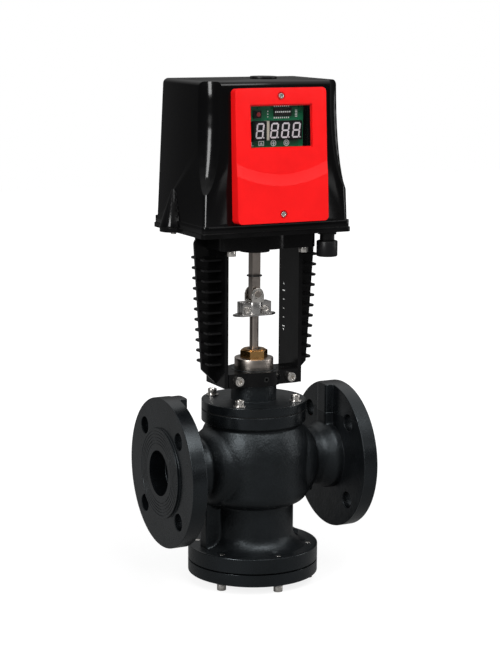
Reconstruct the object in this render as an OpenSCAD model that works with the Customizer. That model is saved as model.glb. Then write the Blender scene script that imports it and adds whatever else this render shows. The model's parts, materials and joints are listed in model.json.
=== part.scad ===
// Two-way globe control valve, DN50, with a yoke-mounted electric linear actuator.
// Origin: on the stem axis, level with the undersides of the bottom screw heads.
// +X runs along the pipe towards the outlet, -Y is the side of the red panel, +Z is up the stem.

/* [Pipe flanges] */
// Length between the two raised faces
face_to_face = 230; // [220:1:250]
// Diameter of each pipe flange
flange_d = 165; // [150:1:185]
// Thickness of a pipe flange without its raised face
flange_t = 17; // [14:0.5:20]
// Diameter of the raised face
raised_d = 99; // [92:1:102]
// Height of the raised face
raised_h = 3; // [2:0.5:4]
// Bore of the two pipe ports
bore_d = 50; // [40:1:54]
// Bolt circle of a pipe flange
bolt_circle_d = 125; // [118:1:135]
// Diameter of a bolt hole
bolt_hole_d = 19; // [14:0.5:22]
// Number of bolts in a pipe flange
bolt_count = 4; // [4:4:8]
// Number of sealing grooves in the raised face
groove_count = 5; // [3:1:5]
// Pitch of the sealing grooves
groove_pitch = 3.4; // [2.5:0.1:3.8]
// Width of a sealing groove
groove_w = 0.8; // [0.5:0.1:1.2]
// Depth of a sealing groove
groove_depth = 0.5; // [0.3:0.1:0.8]
// Crest width of the feeder rib on the back of a flange
feeder_w = 20; // [14:1:26]
// Height of the feeder rib over the back of the flange
feeder_h = 9; // [5:0.5:11]
// Draft of the feeder rib on each side
feeder_draft = 3; // [1:0.5:5]

/* [Body casting] */
// Diameter of the upright barrel round the chambers
bulb_d = 124; // [118:1:132]
// Depth of the upright barrel under the pipe axis
bulb_down = 42; // [40:1:46]
// Edge radius at the foot of the upright barrel
bulb_round = 16; // [10:1:17]
// Start of the barrel's shoulder over the pipe axis
shoulder_up = 10; // [4:1:20]
// Diameter of the lying barrel between the ports
barrel_d = 92; // [86:1:98]
// Length of the lying barrel
barrel_len = 132; // [120:1:136]
// Edge radius of the lying barrel
barrel_round = 22; // [14:1:26]
// Diameter of the pipe necks
pipe_neck_d = 64; // [60:1:70]
// Diameter of a pipe neck where it meets its flange
hub_d = 74; // [70:1:84]
// Length of a pipe neck's flare
hub_len = 12; // [6:1:16]
// Wall of the casting
body_wall = 8; // [5:0.5:10]
// Diameter of the neck under the barrel
body_neck_d = 90; // [86:1:96]
// Height from the bottom joint to the pipe axis
body_down = 107.5; // [100:0.5:120]
// Height from the pipe axis to the bonnet joint
body_up = 62.4; // [60:0.2:70]
// Thickness of the bonnet seat flange
top_flange_t = 13; // [10:0.5:16]
// Diameter of the throat under the bonnet seat flange
throat_d = 106; // [100:1:110]
// Width of the ring round the bore that the bonnet sits on
bonnet_seat_w = 18.8; // [17:0.1:20]
// Bore of the lower chamber
bottom_bore_d = 74; // [68:1:76]
// Diameter of the bottom flange and its cover
base_flange_d = 144.8; // [140:0.2:155]
// Thickness of the bottom flange
base_flange_t = 16.4; // [12:0.2:20]
// Radius of the fillet over the bottom flange
base_fillet = 15; // [10:0.5:18]
// Width of the rib under the inlet neck
inlet_rib_w = 16; // [10:1:22]
// Reach of the inlet rib
inlet_rib_reach = 61.5; // [56:0.5:66]
// Height of the outlet gusset
gusset_h = 9; // [5:0.5:14]
// Reach of the outlet gusset
gusset_reach = 54; // [50:0.5:60]

/* [Seat and plug] */
// Thickness of the bridge that carries the seat
bridge_t = 10; // [8:0.5:12]
// Depth of the bridge's top under the pipe axis
bridge_drop = 5; // [3:0.5:8]
// Bore of the seat ring
seat_bore_d = 45; // [38:0.5:46]
// Diameter of the seat ring's thread
seat_thread_d = 54; // [50:0.5:56]
// Diameter of the seat ring's collar
seat_collar_d = 60; // [58:0.5:62]
// Height of the seat ring's collar
seat_collar_h = 4; // [3:0.5:5]
// Diameter of the plug's seating head
plug_head_d = 50; // [48:0.5:54]
// Height of the plug's seating head
plug_head_h = 6; // [4:0.5:8]
// Depth of the plug's contour below the seat
plug_contour_h = 24; // [16:1:28]
// Diameter of the plug's hub
plug_hub_d = 22; // [18:1:26]
// Height of the plug's hub
plug_hub_h = 11; // [9:0.5:12]
// Diameter of the cross pin in the plug
plug_pin_d = 3; // [2:0.5:4]
// Stroke of the stem
stroke = 20; // [10:1:22]
// Diameter of the valve stem
stem_d = 10; // [8:0.5:11]

/* [Bottom cover] */
// Thickness of the bottom gasket
bottom_gasket_t = 1.4; // [0.8:0.1:2]
// Diameter of the bottom gasket
bottom_gasket_d = 112; // [90:1:114]
// Thickness of the bottom cover
bottom_cover_t = 13.2; // [10:0.2:16]
// Bolt circle of the bottom screws
bottom_circle_d = 124; // [122:0.5:128]
// Number of bottom screws
bottom_screw_count = 6; // [4:1:8]
// Depth of the centring spigot of the bottom cover
bottom_spigot_h = 5; // [3:0.5:8]

/* [Bonnet] */
// Diameter of the bonnet flange and of its seat
bonnet_d = 115.6; // [112:0.2:120]
// Thickness of the bonnet gasket
bonnet_gasket_t = 0.8; // [0.5:0.1:1.5]
// Thickness of the bonnet flange
bonnet_flange_t = 9.4; // [8:0.2:14]
// Number of bonnet screws
bonnet_screw_count = 4; // [4:2:6]
// Depth of the bonnet spigot in the body
bonnet_spigot_h = 12; // [8:0.5:16]
// Diameter of the bonnet's round neck
bonnet_neck_d = 50.4; // [48:0.2:54]
// Height of the bonnet's round neck over its flange
bonnet_neck_h = 34.8; // [30:0.2:40]
// Diameter of the guide bush
bush_d = 18; // [15:0.5:20]
// Length of the guide bush
bush_len = 18; // [12:0.5:22]

/* [Packing] */
// Diameter of the bare collar of the packing housing
housing_d = 43; // [40:0.5:46]
// Height of the bare collar
housing_collar_h = 11.9; // [10:0.1:15]
// Diameter of the screwed shank of the packing housing
housing_shank_d = 36; // [30:0.5:38]
// Length of the screwed shank
housing_shank_len = 25; // [20:0.5:28]
// Bore that holds the packing
packing_bore_d = 20; // [16:0.5:22]
// Number of packing rings
packing_ring_count = 4; // [3:1:5]
// Height of one packing ring
packing_ring_h = 3.2; // [2.5:0.1:3.6]
// Number of disc springs under the packing
disc_spring_count = 4; // [2:2:4]
// Height of one disc spring
disc_spring_h = 1.4; // [1:0.1:1.8]
// Width across the flats of the brass packing nut
packing_nut_flats = 27; // [24:0.5:30]
// Height of the nut's hexagon
packing_nut_h = 8.6; // [7:0.1:12]
// Height of the round face on top of the nut
packing_nut_face_h = 1; // [0.6:0.1:1.5]
// Turn of the nut about the stem
packing_nut_turn = -12; // [-30:1:30]

/* [Coupling] */
// Coupling's foot over the pipe axis, at mid stroke
coupling_up = 168; // [166:0.5:172]
// Width of the coupling
coupling_w = 35.4; // [32:0.2:40]
// Height of the coupling
coupling_h = 13.3; // [12:0.1:16]
// Depth of the two clamped halves together
coupling_depth = 12.6; // [11.6:0.2:15]
// Gap between the two halves
coupling_gap = 1.2; // [0.8:0.1:2]
// Diameter of the round boss in the middle of the coupling
coupling_boss_d = 18.4; // [17:0.2:20]
// Coupling screws from the stem axis
coupling_screw_x = 11.4; // [11:0.1:12]
// Length of the pointer plate
pointer_len = 50; // [44:0.5:56]
// Width of the pointer plate
pointer_w = 17; // [15:0.5:20]
// Thickness of the pointer plate
pointer_t = 2; // [1.5:0.1:2.4]
// Width of the clevis ears
clevis_w = 16.4; // [15:0.2:18]
// Thickness of the clevis sheet
clevis_t = 1.8; // [1.4:0.1:2.2]
// Height of the clevis pin over the coupling
clevis_pin_up = 9.1; // [8:0.1:10]
// Diameter of the clevis pin
clevis_pin_d = 6; // [5:0.5:7]

/* [Drive rod] */
// Width of the square rod
rod_w = 9.8; // [9:0.1:10.6]
// Diameter of the rod's thread
rod_thread_d = 13.6; // [12:0.1:13.8]
// Lead of the rod's thread
thread_lead = 4; // [3:0.5:5]
// Height of the retaining ring over the coupling
ring_up = 28; // [24:0.5:32]
// Diameter of the retaining ring
ring_d = 17; // [15.5:0.5:18]
// Thickness of the retaining ring
ring_t = 1.2; // [0.8:0.1:1.6]

/* [Yoke] */
// Height of the yoke from its clamp to its top face
yoke_h = 168.8; // [164:0.2:180]
// Height of the clamp round the bonnet neck
clamp_h = 15.5; // [13:0.5:17]
// Diameter of the clamp ring
clamp_ring_d = 62; // [58:0.5:66]
// Bonnet neck over the top of the clamp
clamp_drop = 0.4; // [0.2:0.1:1]
// Half width of the clamp block
clamp_half_w = 42.2; // [41:0.1:42.4]
// Reach of the clamp cap to the front
cap_front = 24; // [22:0.5:27]
// Reach of the yoke's split face to the front
split_front = 9; // [6:0.5:11]
// Gap between the clamp cap and the yoke
split_gap = 1; // [0.6:0.1:1.6]
// Clamp screws from the stem axis
clamp_screw_x = 31.8; // [31:0.1:33]
// Stem axis to the inner face of a leg
leg_inner = 42.6; // [42.2:0.1:46]
// Thickness of a leg plate
leg_t = 4.4; // [3.5:0.1:6]
// Width of a leg plate
leg_w = 46; // [42:0.5:50]
// Thickness of the middle web of a leg
web_t = 4; // [3:0.5:5]
// Reach of the web at its top
web_top_reach = 73; // [68:0.5:78]
// Reach of the web at its bottom
web_low_reach = 64; // [60:0.5:66]
// Number of cooling fins on a leg
fin_count = 11; // [8:1:12]
// Height of the lowest fin over the yoke's foot
fin_foot_h = 26.4; // [22:0.2:36]
// Thickness of a fin
fin_t = 2.2; // [1.6:0.1:2.8]
// Width of a fin
fin_w = 37; // [34:0.5:40]
// Length of the top plate along the pipe
top_plate_len = 114; // [110:1:120]
// Width of the top plate
top_plate_w = 76; // [70:1:80]
// Thickness of the top plate
top_plate_t = 17; // [12:0.5:19]
// Diameter of the hub in the middle of the top plate
top_hub_d = 83; // [80:0.5:88]
// Head screws, along the pipe from the stem axis
head_screw_x = 43.5; // [42:0.5:46]
// Head screws, across the pipe from the stem axis
head_screw_y = 31; // [29:0.5:32]

/* [Head] */
// Stem axis to the front edge of the base plate
base_front = 57; // [55:0.5:60]
// Stem axis to the rear edge of the base plate
base_rear = 73; // [70:0.5:78]
// Thickness of the base plate
base_t = 4.8; // [4:0.2:6]
// Thickness of the gasket under the cover
cover_gasket_t = 0.8; // [0.5:0.1:1.2]
// Height of the lip round the foot of the cover
lip_h = 7; // [5:0.5:9]
// Height of the cover with its lip
cover_h = 156.6; // [150:0.2:165]
// Wall of the cover
cover_wall = 2.6; // [2:0.1:3]
// Lean of the side walls
side_lean = 4.5; // [3:0.5:7]
// Lean of the front and rear walls
end_lean = 6; // [4:0.5:7]
// Corner radius of the cover
cover_round = 6; // [5:0.5:8]
// Radius of the scoop at a front corner
scoop_r = 25.5; // [20:0.5:28]
// Height of the scoop's rounded end
scoop_end_h = 100; // [80:1:110]
// Start of the rounded end under the top of the cover
scoop_drop = 20; // [10:1:30]
// Radius of a screw lug at its foot
lug_r = 15; // [12:0.5:17]
// Height of a screw lug
lug_h = 40; // [30:1:46]
// Place of the screw lugs across the pipe
lug_y = 23; // [15:1:30]

/* [Front panel] */
// Width of the red panel
panel_w = 107.4; // [104:0.2:110]
// Height of the red panel
panel_h = 141; // [136:0.5:144]
// Height of the panel's foot over the base plate
panel_up = 10.1; // [8:0.1:12]
// Depth of the panel at its top
panel_top_depth = 10; // [8:0.5:13]
// Depth of the panel at its foot
panel_foot_depth = 14.2; // [11:0.2:17]
// Wall of the panel
panel_wall = 2.4; // [2:0.1:3]
// Step between the upper and the lower face of the panel
panel_step = 1.4; // [0.8:0.1:2]
// Radius of the curved step
step_r = 114; // [100:1:140]
// Lowest point of the curved step over the panel's foot
step_up = 50.4; // [40:0.2:60]
// Width of the sloping band of the step
step_band = 12; // [8:1:14]
// Width of the window
window_w = 73.4; // [68:0.2:76]
// Height of the window
window_h = 45.8; // [42:0.2:48]
// Window from the top of the panel
window_drop = 17.3; // [16.5:0.1:19]
// Thickness of the window pane
pane_t = 1.5; // [1:0.1:1.6]
// Panel screws from the edge of the panel
panel_screw_inset = 8.7; // [7.5:0.1:9]

/* [Electronics] */
// Length of the circuit board
board_w = 80; // [76:0.5:84]
// Height of the circuit board
board_h = 66; // [62:0.5:68]
// Thickness of the circuit board
board_t = 1.6; // [1.2:0.1:2]
// Right edge of the circuit board from the stem axis
board_right = 34; // [32:0.5:36]
// Width of the single digit display
single_w = 15; // [13:0.5:16]
// Width of the triple digit display
triple_w = 39; // [37:0.5:40]
// Height of both displays
digit_h = 20; // [18:0.5:22]
// Depth of both displays
digit_depth = 8; // [6:0.5:8]
// Width of the divider between the displays
divider_w = 3; // [2:0.5:4]
// Displays' distance from the window's left edge
display_in = 8.5; // [7:0.5:10]

/* [Cable gland] */
// Width across the flats of the gland body
gland_flats = 20; // [18:0.5:21]
// Diameter of the gland's nut
gland_nut_d = 23; // [22:0.5:25]
// Height of the gland's nut
gland_nut_h = 17; // [15:0.5:20]
// Diameter of the cable entry
gland_bore_d = 8; // [6:0.5:9]
// Gap between the gland's nut and the yoke's top plate
gland_room = 0.5; // [0.4:0.1:2]
// Gland to the end of the base plate
gland_edge = 20; // [15:0.5:23]
// Place of the gland across the pipe
gland_y = -38; // [-40:0.5:-35]

/* [Gear train] */
// Tooth module of all gears
tooth_m = 1; // [0.9:0.05:1.05]
// Teeth of the drive gear on the nut
drive_teeth = 60; // [56:2:62]
// Teeth of the small wheels
small_teeth = 14; // [13:1:16]
// Teeth of the large wheel of the transfer gear
large_teeth = 42; // [38:2:44]
// Width of a gear
gear_t = 8; // [6:0.5:9]
// Diameter of the gear motor
motor_d = 48; // [40:1:50]
// Height of the gear motor
motor_h = 50; // [40:1:60]
// Height from the base plate to the gear plate
gear_plate_up = 51; // [50:0.5:58]
// Thickness of the gear plate
gear_plate_t = 3.5; // [2.5:0.1:4]
// Place of the crank shaft along the pipe
crank_x = 14.4; // [13:0.1:16]
// Place of the crank shaft across the pipe
crank_y = 10; // [9:0.1:12]
// Diameter of the crank cap
cap_d = 29; // [26:0.5:32]
// Height of the crank cap over the cover
cap_h = 2.5; // [2:0.1:4]

/* [Screws] */
// Thread of the body and bonnet screws
screw_d = 6; // [5:0.5:6.5]
// Head diameter of the body and bonnet screws
screw_head_d = 10; // [9:0.2:10.6]
// Head height of the body and bonnet screws
screw_head_h = 6; // [5:0.2:7]
// Thread of the small screws
small_screw_d = 4; // [3:0.5:4.5]
// Head diameter of the small screws
small_head_d = 7.6; // [7:0.2:8.4]
// Head height of the small screws
small_head_h = 3; // [2.4:0.1:3.4]
// Diameter of a washer
washer_d = 14; // [11.5:0.1:14.4]
// Thickness of a washer
washer_t = 1.6; // [1.2:0.1:2]

/* [Hidden] */
$fn = 64;

// Fits and cuts
over = 2;
gap = 0.3;
fit = 0.05;
slide_fit = 0.1;
screw_play = 0.25;

// Colours
iron_grey = [0.30, 0.31, 0.31];
steel = [0.62, 0.63, 0.64];
dark_steel = [0.20, 0.20, 0.21];
brass = [0.75, 0.60, 0.32];
zinc = [0.70, 0.72, 0.74];
black = [0.07, 0.07, 0.08];
red = [0.82, 0.06, 0.08];
board_green = [0.08, 0.30, 0.16];
pale = [0.85, 0.83, 0.78];
clear_grey = [0.35, 0.36, 0.38, 0.5];

// Places along the pipe
gland_x = top_plate_len / 2 + gland_room + gland_nut_d / 2;
base_len = 2 * (gland_x + gland_edge);
bottom_screw_turn = 30;
bonnet_screw_turn = 45;

// Heights
cover_foot_z = screw_head_h + 2 * washer_t;
cover_face_z = cover_foot_z + bottom_cover_t;
body_foot_z = cover_face_z + bottom_gasket_t;
flow_z = body_foot_z + body_down;
base_flange_z = body_foot_z + base_flange_t;
body_top_z = flow_z + body_up;
bonnet_z = body_top_z + bonnet_gasket_t;
bonnet_top_z = bonnet_z + bonnet_flange_t;
neck_top_z = bonnet_top_z + bonnet_neck_h;
clamp_z = neck_top_z - clamp_drop - clamp_h;
clamp_mid_z = clamp_z + clamp_h / 2;
housing_top_z = neck_top_z + housing_collar_h;
coupling_z = flow_z + coupling_up;
coupling_top_z = coupling_z + coupling_h;
clevis_pin_z = coupling_top_z + clevis_pin_up;
ring_z = coupling_top_z + ring_up;
yoke_top_z = clamp_z + yoke_h;
top_plate_z = yoke_top_z - top_plate_t;
base_top_z = yoke_top_z + base_t;
cover_z = base_top_z + cover_gasket_t;
lip_top_z = cover_z + lip_h;
cover_top_z = cover_z + cover_h;
panel_z = base_top_z + panel_up;
panel_top_z = panel_z + panel_h;
window_top_z = panel_top_z - window_drop;
window_z = window_top_z - window_h;
window_mid_z = window_z + window_h / 2;
gear_plate_z = base_top_z + gear_plate_up;
gear_plate_top_z = gear_plate_z + gear_plate_t;

// Shared shapes

// Children lifted by a height.
module up(h) {
  translate([0, 0, h]) children();
}

// A ring with its foot at z = 0.
module ring(d_out, d_in, h) {
  difference() {
    cylinder(d = d_out, h = h);
    up(-over) cylinder(d = d_in, h = h + 2 * over);
  }
}

// Children round a circle about the stem axis.
module round_circle(count, circle_d, start = 0) {
  for (i = [0:count - 1])
    rotate([0, 0, start + i * 360 / count]) translate([circle_d / 2, 0, 0]) children();
}

// A rectangle about the origin with round corners.
module round_rect(w, d, r) {
  square([w - 2 * r, d], center = true);
  square([w, d - 2 * r], center = true);
  for (x = [-1, 1], y = [-1, 1]) translate([x * (w / 2 - r), y * (d / 2 - r)]) circle(r = r);
}

// A socket screw: head above z = 0, thread below.
module socket_screw(d, head_d, head_h, len) {
  difference() {
    union() {
      cylinder(d = head_d, h = head_h);
      up(-len) cylinder(d = d, h = len);
    }
    up(head_h * socket_floor_share) cylinder(d = head_d * socket_share, h = head_h, $fn = 6);
  }
}

// A round-headed screw with a cross recess: head above z = 0, thread below.
module cross_screw(d, head_d, head_h, len) {
  difference() {
    union() {
      cylinder(d1 = head_d, d2 = head_d * pan_share, h = head_h);
      up(-len) cylinder(d = d, h = len);
    }
    for (a = [0, 90])
      rotate([0, 0, a])
        translate([-head_d * cross_share / 2, -head_h * cross_w_share / 2, head_h * cross_floor_share])
          cube([head_d * cross_share, head_h * cross_w_share, head_h]);
  }
}
socket_share = 0.55;
socket_floor_share = 0.45;
pan_share = 0.72;
cross_share = 0.6;
cross_w_share = 0.3;
cross_floor_share = 0.5;

// Body casting: flanged globe body with an upright barrel
bulb_r = bulb_d / 2;
throat_r = throat_d / 2;
top_flange_z = body_top_z - top_flange_t;
shoulder_in = bulb_r - throat_r;
shoulder_h = top_flange_z - flow_z - shoulder_up;
shoulder_r = (shoulder_in * shoulder_in + shoulder_h * shoulder_h) / (2 * shoulder_in);
flange_in_x = face_to_face / 2 - raised_h - flange_t;
chamfer_h = top_flange_t / 3;
groove_top_r = raised_d / 2 - groove_pitch;
bottom_hole_d = screw_d + 2 * fit;
top_bore_d = bonnet_d - 2 * bonnet_seat_w;
bonnet_circle_d = bonnet_d - bonnet_seat_w;
thread_depth_share = 0.9;
bonnet_hole_depth = top_flange_t * thread_depth_share;
spot_d = screw_head_d + washer_d / 2;
fillet_share = 0.96;

module on_pipe_axis(side) {
  up(flow_z) rotate([0, side * 90, 0]) children();
}

module barrel_profile(inset) {
  r = bulb_r - inset;
  round_r = bulb_round - inset / 2;
  foot = -bulb_down + inset;
  translate([0, foot + round_r]) square([r, shoulder_up - foot - round_r]);
  translate([0, foot]) square([r - round_r, round_r + over]);
  translate([r - round_r, foot + round_r]) circle(r = round_r);
  intersection() {
    translate([0, shoulder_up - over]) square([r, shoulder_h + over]);
    translate([r - shoulder_r, shoulder_up]) circle(r = shoulder_r, $fn = 180);
  }
}

module upright_barrel(inset) {
  up(flow_z) rotate_extrude($fn = 96) barrel_profile(inset);
}

module lying_barrel(inset) {
  r = barrel_d / 2 - inset;
  half = barrel_len / 2 - inset;
  edge = barrel_round - inset / 2;
  on_pipe_axis(1) rotate_extrude($fn = 96) {
    translate([0, -half]) square([r - edge, 2 * half]);
    translate([0, edge - half]) square([r, 2 * (half - edge)]);
    for (z = [edge - half, half - edge]) translate([r - edge, z]) circle(r = edge);
  }
}

module pipe_flange() {
  difference() {
    union() {
      up(flange_in_x) cylinder(d = flange_d, h = flange_t, $fn = 128);
      up(flange_in_x) cylinder(d = raised_d, h = flange_t + raised_h, $fn = 96);
      cylinder(d = pipe_neck_d, h = flange_in_x + over);
      up(flange_in_x - hub_len) cylinder(d1 = pipe_neck_d, d2 = hub_d, h = hub_len);
    }
    for (i = [0:groove_count - 1])
      up(face_to_face / 2 - groove_depth)
        ring(2 * (groove_top_r - i * groove_pitch) + groove_w,
          2 * (groove_top_r - i * groove_pitch) - groove_w,
             groove_depth + over);
    up(flange_in_x - over)
      round_circle(bolt_count, bolt_circle_d, 180 / bolt_count)
        cylinder(d = bolt_hole_d, h = flange_t + 2 * over);
  }
}

// Upright rib on the back of a flange, from the neck to the rim.
module feeder_rib(side) {
  intersection() {
    on_pipe_axis(side) cylinder(d = flange_d, h = flange_in_x + over, $fn = 128);
    up(flow_z) linear_extrude(flange_d / 2)
      polygon([
        [side * (flange_in_x + over), feeder_w / 2 + feeder_draft],
        [side * flange_in_x, feeder_w / 2 + feeder_draft],
        [side * (flange_in_x - feeder_h), feeder_w / 2], [side * (flange_in_x - feeder_h), -feeder_w / 2],
        [side * flange_in_x, -feeder_w / 2 - feeder_draft],
        [side * (flange_in_x + over), -feeder_w / 2 - feeder_draft]
      ]);
  }
}

// Fillet from the lower neck to the bottom flange, with a flat round each screw.
module base_fillet_ring() {
  difference() {
    up(base_flange_z) rotate_extrude($fn = 96) difference() {
      translate([0, -over])
        square([body_neck_d / 2 + base_fillet * fillet_share, base_fillet * fillet_share + over]);
      translate([body_neck_d / 2 + base_fillet * fillet_share, base_fillet * fillet_share])
        circle(r = base_fillet);
    }
    up(base_flange_z)
      round_circle(bottom_screw_count, bottom_circle_d, bottom_screw_turn)
        cylinder(d = spot_d, h = base_fillet + over);
  }
}

module body_outside() {
  upright_barrel(0);
  lying_barrel(0);
  for (side = [-1, 1]) {
    on_pipe_axis(side) pipe_flange();
    feeder_rib(side);
  }
  up(body_foot_z) cylinder(d = body_neck_d, h = body_down);
  up(body_foot_z) cylinder(d = base_flange_d, h = base_flange_t, $fn = 128);
  base_fillet_ring();
  up(top_flange_z) cylinder(d = bonnet_d, h = top_flange_t, $fn = 128);
  up(top_flange_z - chamfer_h) cylinder(d1 = throat_d, d2 = bonnet_d, h = chamfer_h, $fn = 128);
  translate([-inlet_rib_reach, -inlet_rib_w / 2, base_flange_z - over])
    cube([inlet_rib_reach, inlet_rib_w, body_down - base_flange_t - barrel_d / 2 + over + over]);
  translate([0, -inlet_rib_w / 2, base_flange_z - over]) cube([gusset_reach, inlet_rib_w, gusset_h + over]);
}

// The slanting wall between the two chambers.
bridge_reach = bulb_r - body_wall + over;
bridge_flat = seat_collar_d / 2 + body_wall / 2;
bridge_rise = pipe_neck_d / 2 - over;
bridge_top_z = flow_z - bridge_drop;
leg_share = 0.7;

module bridge() {
  translate([0, bulb_r, 0]) rotate([90, 0, 0]) linear_extrude(bulb_d)
    polygon([
      [-bridge_reach, flow_z + bridge_rise], [-bridge_flat, bridge_top_z], [bridge_flat, bridge_top_z],
      [bridge_reach, flow_z - bridge_rise], [bridge_reach, flow_z - bridge_rise - bridge_t],
      [bridge_flat * leg_share, bridge_top_z - bridge_t],
      [-bridge_flat * leg_share, bridge_top_z - bridge_t],
      [-bridge_flat, bridge_top_z - bridge_t], [-bridge_reach, flow_z + bridge_rise - bridge_t]
    ]);
}

module body_cavity() {
  difference() {
    union() {
      upright_barrel(body_wall);
      lying_barrel(body_wall);
    }
    bridge();
  }
  for (side = [-1, 1])
    on_pipe_axis(side) up(barrel_len / 2 - barrel_round)
      cylinder(d = bore_d, h = face_to_face / 2);
  up(flow_z + shoulder_up) cylinder(d = top_bore_d, h = body_up);
  up(body_foot_z - over) cylinder(d = bottom_bore_d, h = body_down - bulb_down + body_wall + 2 * over);
  up(bridge_top_z - bridge_t - over)
    cylinder(d = seat_thread_d + 2 * fit, h = bridge_t + 2 * over);
}

module body_casting() {
  color(iron_grey) difference() {
    body_outside();
    body_cavity();
    up(body_foot_z - over)
      round_circle(bottom_screw_count, bottom_circle_d, bottom_screw_turn)
        cylinder(d = bottom_hole_d, h = base_flange_t + 2 * over);
    up(body_top_z - bonnet_hole_depth)
      round_circle(bonnet_screw_count, bonnet_circle_d, bonnet_screw_turn)
        cylinder(d = bottom_hole_d, h = top_flange_t);
  }
}

// Seat ring, screwed into the bridge
seat_top_z = bridge_top_z + seat_collar_h;

module seat_ring() {
  color(steel) difference() {
    union() {
      up(bridge_top_z - bridge_t) cylinder(d = seat_thread_d, h = bridge_t);
      up(bridge_top_z) cylinder(d = seat_collar_d, h = seat_collar_h);
    }
    up(bridge_top_z - bridge_t - over)
      cylinder(d = seat_bore_d, h = bridge_t + seat_collar_h + 2 * over);
  }
}

// Bottom cover with its gasket, screws and washers
bottom_screw_len = bottom_cover_t + bottom_gasket_t + base_flange_t;
washer_bore_d = screw_d + 2 * screw_play;

module bottom_gasket() {
  color(black) up(cover_face_z) ring(bottom_gasket_d, bottom_bore_d, bottom_gasket_t);
}

module bottom_cover() {
  color(iron_grey) difference() {
    union() {
      up(cover_foot_z) cylinder(d = base_flange_d, h = bottom_cover_t, $fn = 128);
      up(cover_face_z) cylinder(d = bottom_bore_d - 2 * fit, h = bottom_gasket_t + bottom_spigot_h);
    }
    up(cover_foot_z - over)
      round_circle(bottom_screw_count, bottom_circle_d, bottom_screw_turn)
        cylinder(d = washer_bore_d, h = bottom_cover_t + 2 * over);
  }
}

module bottom_screws() {
  color(steel) up(screw_head_h)
    round_circle(bottom_screw_count, bottom_circle_d, bottom_screw_turn)
      mirror([0, 0, 1]) socket_screw(screw_d, screw_head_d, screw_head_h, bottom_screw_len + 2 * washer_t);
}

module bottom_washers() {
  color(zinc) for (i = [0, 1])
    up(screw_head_h + i * washer_t)
      round_circle(bottom_screw_count, bottom_circle_d, bottom_screw_turn)
        ring(i == 0 ? screw_head_d : washer_d, washer_bore_d, washer_t - fit);
}

// Bonnet with its gasket, screws and washers
spigot_d = top_bore_d - 2 * fit;
bonnet_screw_len = bonnet_flange_t + bonnet_gasket_t + bonnet_hole_depth;
stem_bore_d = stem_d + 4 * gap;
bush_floor_z = bonnet_z - bonnet_spigot_h;

module bonnet_gasket() {
  color(black) up(body_top_z) difference() {
    ring(bonnet_d, top_bore_d, bonnet_gasket_t);
    up(-over)
      round_circle(bonnet_screw_count, bonnet_circle_d, bonnet_screw_turn)
        cylinder(d = washer_bore_d, h = bonnet_gasket_t + 2 * over);
  }
}

module bonnet() {
  color(iron_grey) difference() {
    union() {
      up(bonnet_z) cylinder(d = bonnet_d, h = bonnet_flange_t, $fn = 128);
      up(bush_floor_z) cylinder(d = spigot_d, h = bonnet_spigot_h);
      up(bonnet_z) cylinder(d = bonnet_neck_d, h = bonnet_flange_t + bonnet_neck_h);
    }
    up(bush_floor_z - over) cylinder(d = bush_d + 2 * fit, h = bush_len + over);
    up(bush_floor_z) cylinder(d = stem_bore_d, h = neck_top_z - bush_floor_z);
    up(neck_top_z - housing_shank_len)
      cylinder(d = housing_shank_d + 2 * fit, h = housing_shank_len + over);
    up(bonnet_z - over)
      round_circle(bonnet_screw_count, bonnet_circle_d, bonnet_screw_turn)
        cylinder(d = washer_bore_d, h = bonnet_flange_t + 2 * over);
  }
}

module bonnet_screws() {
  color(steel) up(bonnet_top_z + washer_t)
    round_circle(bonnet_screw_count, bonnet_circle_d, bonnet_screw_turn)
      socket_screw(screw_d, screw_head_d, screw_head_h, bonnet_screw_len);
}

module bonnet_washers() {
  color(zinc) up(bonnet_top_z)
    round_circle(bonnet_screw_count, bonnet_circle_d, bonnet_screw_turn)
      ring(washer_d, washer_bore_d, washer_t);
}

module guide_bush() {
  color(brass) up(bush_floor_z) ring(bush_d, stem_d + 2 * fit, bush_len);
}

// Packing housing and what it holds
housing_floor_t = (housing_d - housing_shank_d) / 2;
housing_foot_z = neck_top_z - housing_shank_len;
packing_floor_z = housing_foot_z + housing_floor_t;
packing_foot_z = packing_floor_z + disc_spring_count * disc_spring_h;
packing_top_z = packing_foot_z + packing_ring_count * packing_ring_h;
packing_d = packing_bore_d - 2 * fit;
wiper_h = packing_nut_h / 4;
wiper_d = (stem_d + packing_bore_d) / 2;

module packing_housing() {
  color(steel) difference() {
    union() {
      up(housing_foot_z) cylinder(d = housing_shank_d, h = housing_shank_len);
      up(neck_top_z) cylinder(d = housing_d, h = housing_collar_h);
    }
    up(housing_foot_z - over) cylinder(d = stem_bore_d, h = housing_floor_t + 2 * over);
    up(packing_floor_z) cylinder(d = packing_bore_d, h = housing_top_z);
  }
}

module packing_rings() {
  color(pale) for (i = [0:packing_ring_count - 1])
    up(packing_foot_z + i * packing_ring_h) ring(packing_d, stem_d + 2 * slide_fit, packing_ring_h - fit);
}

// Cone-shaped spring washers, stacked in pairs that face each other.
module disc_springs() {
  rim = disc_spring_h / 2;
  color(steel) for (i = [0:disc_spring_count - 1])
    up(packing_floor_z + i * disc_spring_h + (i % 2) * disc_spring_h)
      mirror([0, 0, i % 2]) rotate_extrude()
        polygon([
          [packing_d / 2, 0], [packing_d / 2, rim],
          [stem_bore_d / 2, disc_spring_h], [stem_bore_d / 2, disc_spring_h - rim]
        ]);
}

nut_face_share = 0.9;

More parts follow.
